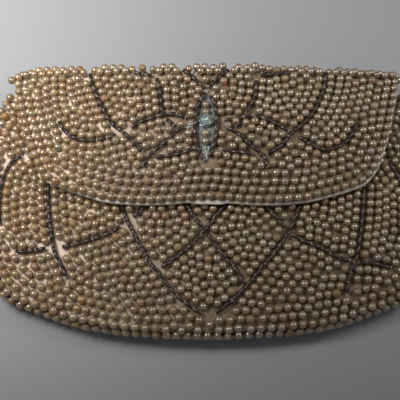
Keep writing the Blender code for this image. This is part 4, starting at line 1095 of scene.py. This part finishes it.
cup = close_ends(turned("stone_cup_metal", stone_base, [(0, 0), (0.0031, 0), (0.0036, 0.0005), (0.0036, 0.0017),
                        (0.0034, 0.0017), (0.0034, 0.0007), (0.0029, 0.0003), (0, 0.0003)], 24, silver))
foil_back = close_ends(turned("stone_foil", stone_base, [(0, 0.0005), (0.0014, 0.0008), (0.0031, 0.0017),
                              (0.0031, 0.0018), (0.0013, 0.0010), (0, 0.0007)], 8, foil, False))
stone = close_ends(turned("stone_glass", stone_base, [(0, 0.0011), (0.0014, 0.0013), (0.0031, 0.0019),
                          (0.0031, 0.0021), (0.0024, 0.0028), (0.0016, 0.0032), (0, 0.0032)], 8, glass, False, 0.2))
claw_turn = np.arange(6) * math.tau / 6 + 0.3
claw_shape = np.array([(0.0036, 0.0004), (0.0037, 0.0016), (0.0034, 0.0024), (0.0028, 0.0028)])
claws = tubes("stone_claws", np.stack([claw_shape[None, :, 0] * np.cos(claw_turn)[:, None] + stone_base[0],
                                       claw_shape[None, :, 0] * np.sin(claw_turn)[:, None] + stone_base[1],
                                       claw_shape[None, :, 1] + stone_base[2] + 0 * claw_turn[:, None]], -1),
              0.00032, 6, silver)
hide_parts("stone_cup")
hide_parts("clear_stone")
for piece in (cup, foil_back, stone, claws):
    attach(piece, "flap")


# Linings. Ivory satin covers the inside of the back, the front, the spine and the flap. A flat slip pocket is sewn
# to the back's lining.

BACK_LINING_Z = 0.00585
FRONT_LINING_Z = 0.01365
FLAP_LINING_Z = 0.0203
FOLD_LINING_AWAY = 0.00163  # how far inside the fold lines the spine's lining stands
lining = cloth_material("ivory_lining_satin", (0.56, 0.49, 0.38), (0.80, 0.73, 0.61), 620.0, 0.38, 0.2, 0.00012)
back_lining = fan_sheet("back_lining_cloth", body_outline, FOLD_Y - 0.0019,
                        even_rings(lambda x, y: BACK_LINING_Z + rise(x, y)), lining)
front_lining = fan_sheet("front_lining_cloth", front_outline, MOUTH_Y,
                         even_rings(lambda x, y: FRONT_LINING_Z - fall(x, y)), lining, upward=False)
flap_lining = fan_sheet("flap_lining_cloth", flap_outline, FOLD_Y - 0.0017,
                        even_rings(lambda x, y: FLAP_LINING_Z - fall(x, y), inset=0.0014), lining, upward=False)
spine_lining = strip_between(
    "spine_lining_cloth", spine_x,
    lambda x: (spine_foot(x)[0] - FOLD_LINING_AWAY, spine_foot(x)[1] + 0.0019),
    lambda x: (spine_head(x)[0] - FOLD_LINING_AWAY, spine_head(x)[1] - 0.0019), lining)
spine_lining.data.flip_normals()

# The pocket lies 0.13 mm over the back's lining and stands up to 0.8 mm off it, by the square root of a sine across
# times the share of the way up to its mouth.
POCKET_WIDTH = 0.090
POCKET_DEPTH = 0.060
pocket_x = np.linspace(-POCKET_WIDTH / 2, POCKET_WIDTH / 2, 31)
pocket_part = np.linspace(0, 1, 21)[:, None]
pocket_y = FOLD_Y - 0.035 - POCKET_DEPTH * pocket_part + 0 * pocket_x
belly = np.sqrt(np.clip(np.sin(math.pi * (pocket_x / POCKET_WIDTH + 0.5)), 0, 1) * (1 - pocket_part))
pocket_z = BACK_LINING_Z + 0.00013 + 0.0008 * belly
pocket = thicken(add_mesh("slip_pocket_cloth", np.stack([pocket_x + 0 * pocket_y, pocket_y, pocket_z], -1),
                          grid_faces(21, 31), lining), 0.0003)
for piece, body, node, size, area, board in (
    (back_lining, "pouch", "back_lining", (0.228, 0.131), flat_area(body_outline) * 0.95, "back_stiffener"),
    (front_lining, "pouch", "front_lining", (0.228, 0.125), flat_area(front_outline) * 0.95, "front_stiffener"),
    (flap_lining, "flap", "flap_lining", (0.192, 0.070), flat_area(flap_outline) * 0.97, "flap_stiffener"),
    (spine_lining, "spine", "spine_lining", (0.182, 0.014), 0.0022, "spine_stiffener"),
    (pocket, "pouch", "slip_pocket", (POCKET_WIDTH, POCKET_DEPTH), None, "back_lining_cloth"),
):
    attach(piece, body)
    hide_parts(node)


def fold_strip(name, x, face, upwards):
    """A strip of lining that bridges a fold on the inside: along the panel's face, round a corner of about 1 mm and
    along the spine's face."""
    over = np.array([-7.2, -5.2, -3.8, -2.9, -2.35, -2.12, -2.12, -2.12, -2.12])[:, None] / 1000 + FOLD_Y + 0 * x
    away = np.array([0.0, 0.0, 0.0, 0.15, 0.5, 1.1, 2.6, 4.0, 5.2])[:, None] / 1000
    strip = np.stack([x + 0 * over, over, face(x + 0 * over, over) + upwards * away], -1)
    made = thicken(add_mesh(name, strip, grid_faces(9, len(x)), lining), 0.0002)
    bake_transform(made)


x = np.linspace(-0.0895, 0.0895, 61)
fold_strip("back_fold_lining", x, lambda x, y: 0.0062 + rise(x, y), 1)
fold_strip("flap_fold_lining", x, lambda x, y: 0.01998 - fall(x, y), -1)


# Bindings. A bias strip of cream satin is rolled round the flap's free edge, under the last row of pearls, and another
# round the front's mouth edge. In the middle of the flap the strip is wider and pressed flat.

def binding_material():
    """Cream satin on the bias: small creases run across the roll, with painted shade in their hollows."""
    made, tree, shader = new_material("cream_satin_binding")
    weave = add_node(tree, "ShaderNodeGroup", {"Thread Scale": 500.0}, node_tree=woven_threads)
    crease_and_shade = noise(tree, place_on(tree), 420.0, 3.0)
    height = sum_of(tree, crease_and_shade, weave.outputs["Height"], 0.25)
    set_inputs(tree, shader, {
        # Painted shade: the binding is darker in the hollows of its creases.
        "Base Color": mix(tree, crease_and_shade, (0.52, 0.47, 0.38, 1.0), (0.76, 0.71, 0.61, 1.0)),
        "Normal": bumped(tree, height, 0.0003, 0.6), "Roughness": 0.45, "Sheen Weight": 0.2,
    })
    return made


cream_binding = binding_material()


def rolled_binding(name, centres, width, height, body, node):
    """A rolled strip along a path: an oval section whose half width and half height vary along it."""
    ahead = unit(np.gradient(centres, axis=0))
    side = unit(np.cross(ahead, (0, 0, 1.0)))
    up = np.cross(side, ahead)
    turn = np.arange(10) * math.tau / 10
    rings = (centres[:, None] + width[:, None, None] * np.cos(turn)[:, None] * side[:, None]
             + height[:, None, None] * np.sin(turn)[:, None] * up[:, None])
    faces = grid_faces(len(centres), 10, closed=True)[:, ::-1].tolist()
    faces += [list(range(10)), list(range(len(centres) * 10 - 10, len(centres) * 10))[::-1]]
    made = add_mesh(name, rings, faces, cream_binding)
    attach(made, body)
    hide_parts(node)


# The flap's roll is 0.95 mm wide either way, sways a little, and lies up to 1.3 mm farther out at the left end. In the
# middle 15 mm it is 1.1 mm wider either way and 0.3 mm lower.
FLAP_EDGE_Z = 0.02095
chance = np.random.default_rng(31)
edge_path, edge_ahead = evenly(flap_outline[1:-1], count=260)
left_share = np.clip((-0.050 - edge_path[:, 0]) / 0.025, 0, 1)[:, None]
edge_path = edge_path + np.column_stack([edge_ahead[:, 1], -edge_ahead[:, 0]]) * (0.0003 + 0.0013 * left_share)
sway = np.interp(np.arange(260), np.linspace(0, 259, 44), chance.normal(0, 1, 44))
edge_z = FLAP_EDGE_Z - fall(edge_path[:, 0], edge_path[:, 1]) + 0.0001 * sway
middle_part = np.exp(-(((edge_path[:, 0] - 0.001) / 0.0075) ** 6)) * (edge_path[:, 1] < 0)
edge_width = 0.00095 + 0.0001 * sway + 0.0011 * middle_part
edge_height = 0.0011 - 0.0003 * middle_part
rolled_binding("flap_edge_binding", np.column_stack([edge_path, edge_z]), edge_width, edge_height, "flap",
               "flap_binding")
mouth_x = np.linspace(0.0909, -0.0909, 120)
mouth_y = np.full(120, MOUTH_Y + 0.0014)
mouth_z = FRONT_LINING_Z + 0.001025 - fall(mouth_x, mouth_y)
rolled_binding("mouth_edge_binding", np.column_stack([mouth_x, mouth_y, mouth_z]), np.full(120, 0.0011),
               np.full(120, 0.0011), "pouch", "mouth_binding")


# Press stud. A nickel socket is sewn to the front in its clearing and the stud to the flap's lining, each with four
# groups of stitches through holes in its flange.

nickel = metal_material("nickel_plate", (0.66, 0.64, 0.60), 0.2)
for node in ("snap_socket", "snap_stud"):
    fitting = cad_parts[node]
    fitting.data.materials.clear()
    fitting.data.materials.append(nickel)


# Floor, light and camera. The bag lies on a plain pale surface. Two square lamps hang 0.3 m above it: the main one
# beyond the left end and a dimmer one beyond the right, so each pearl has two highlights. The camera looks down at
# 68 degrees from the front.

floor_material, tree, shader = new_material("pale_floor")
set_inputs(tree, shader, {"Base Color": (0.290, 0.296, 0.306, 1.0), "Roughness": 0.75})
floor = add_mesh("floor", [(-2, -2, -0.0001), (2, -2, -0.0001), (2, 2, -0.0001), (-2, 2, -0.0001)], [(0, 1, 2, 3)],
                 floor_material)


def area_lamp(name, place, aim, watts):
    """A square lamp at a place, turned to face the aim, whose light fades away from it within its spread."""
    data = bpy.data.lights.new(name, "AREA")
    data.size = 0.14
    data.energy = watts
    data.spread = math.radians(130)
    data.color = (1.0, 0.99, 0.98)
    lamp = bpy.data.objects.new(name, data)
    bpy.context.scene.collection.objects.link(lamp)
    lamp.location = place
    towards = np.array(aim, float) - np.array(place, float)
    flat = math.hypot(towards[0], towards[1])
    lamp.rotation_euler = (math.atan2(flat, -towards[2]), 0, math.atan2(towards[1], towards[0]) - math.pi / 2)


area_lamp("lamp_left", (-0.19, 0.05, 0.31), (-0.20, 0.20, 0.0), 1.18)
area_lamp("lamp_right", (0.25, 0.08, 0.29), (0.06, 0.16, 0.0), 0.30)
world = bpy.data.worlds.new("plain_grey")
bpy.context.scene.world = world
world.use_nodes = True
set_inputs(world.node_tree, world.node_tree.nodes["Background"], {"Color": (1.0, 0.99, 0.99, 1.0), "Strength": 0.17})

camera_data = bpy.data.cameras.new("camera")
camera_data.lens = 64.26
camera_data.sensor_width = 36.0
camera_data.clip_start = 0.01
camera = bpy.data.objects.new("camera", camera_data)
bpy.context.scene.collection.objects.link(camera)
camera.location = (-0.0033, -0.12917, 0.32924)
camera.rotation_euler = (math.radians(22), 0, 0)
bpy.context.scene.camera = camera
bpy.context.scene.view_settings.view_transform = "Standard"
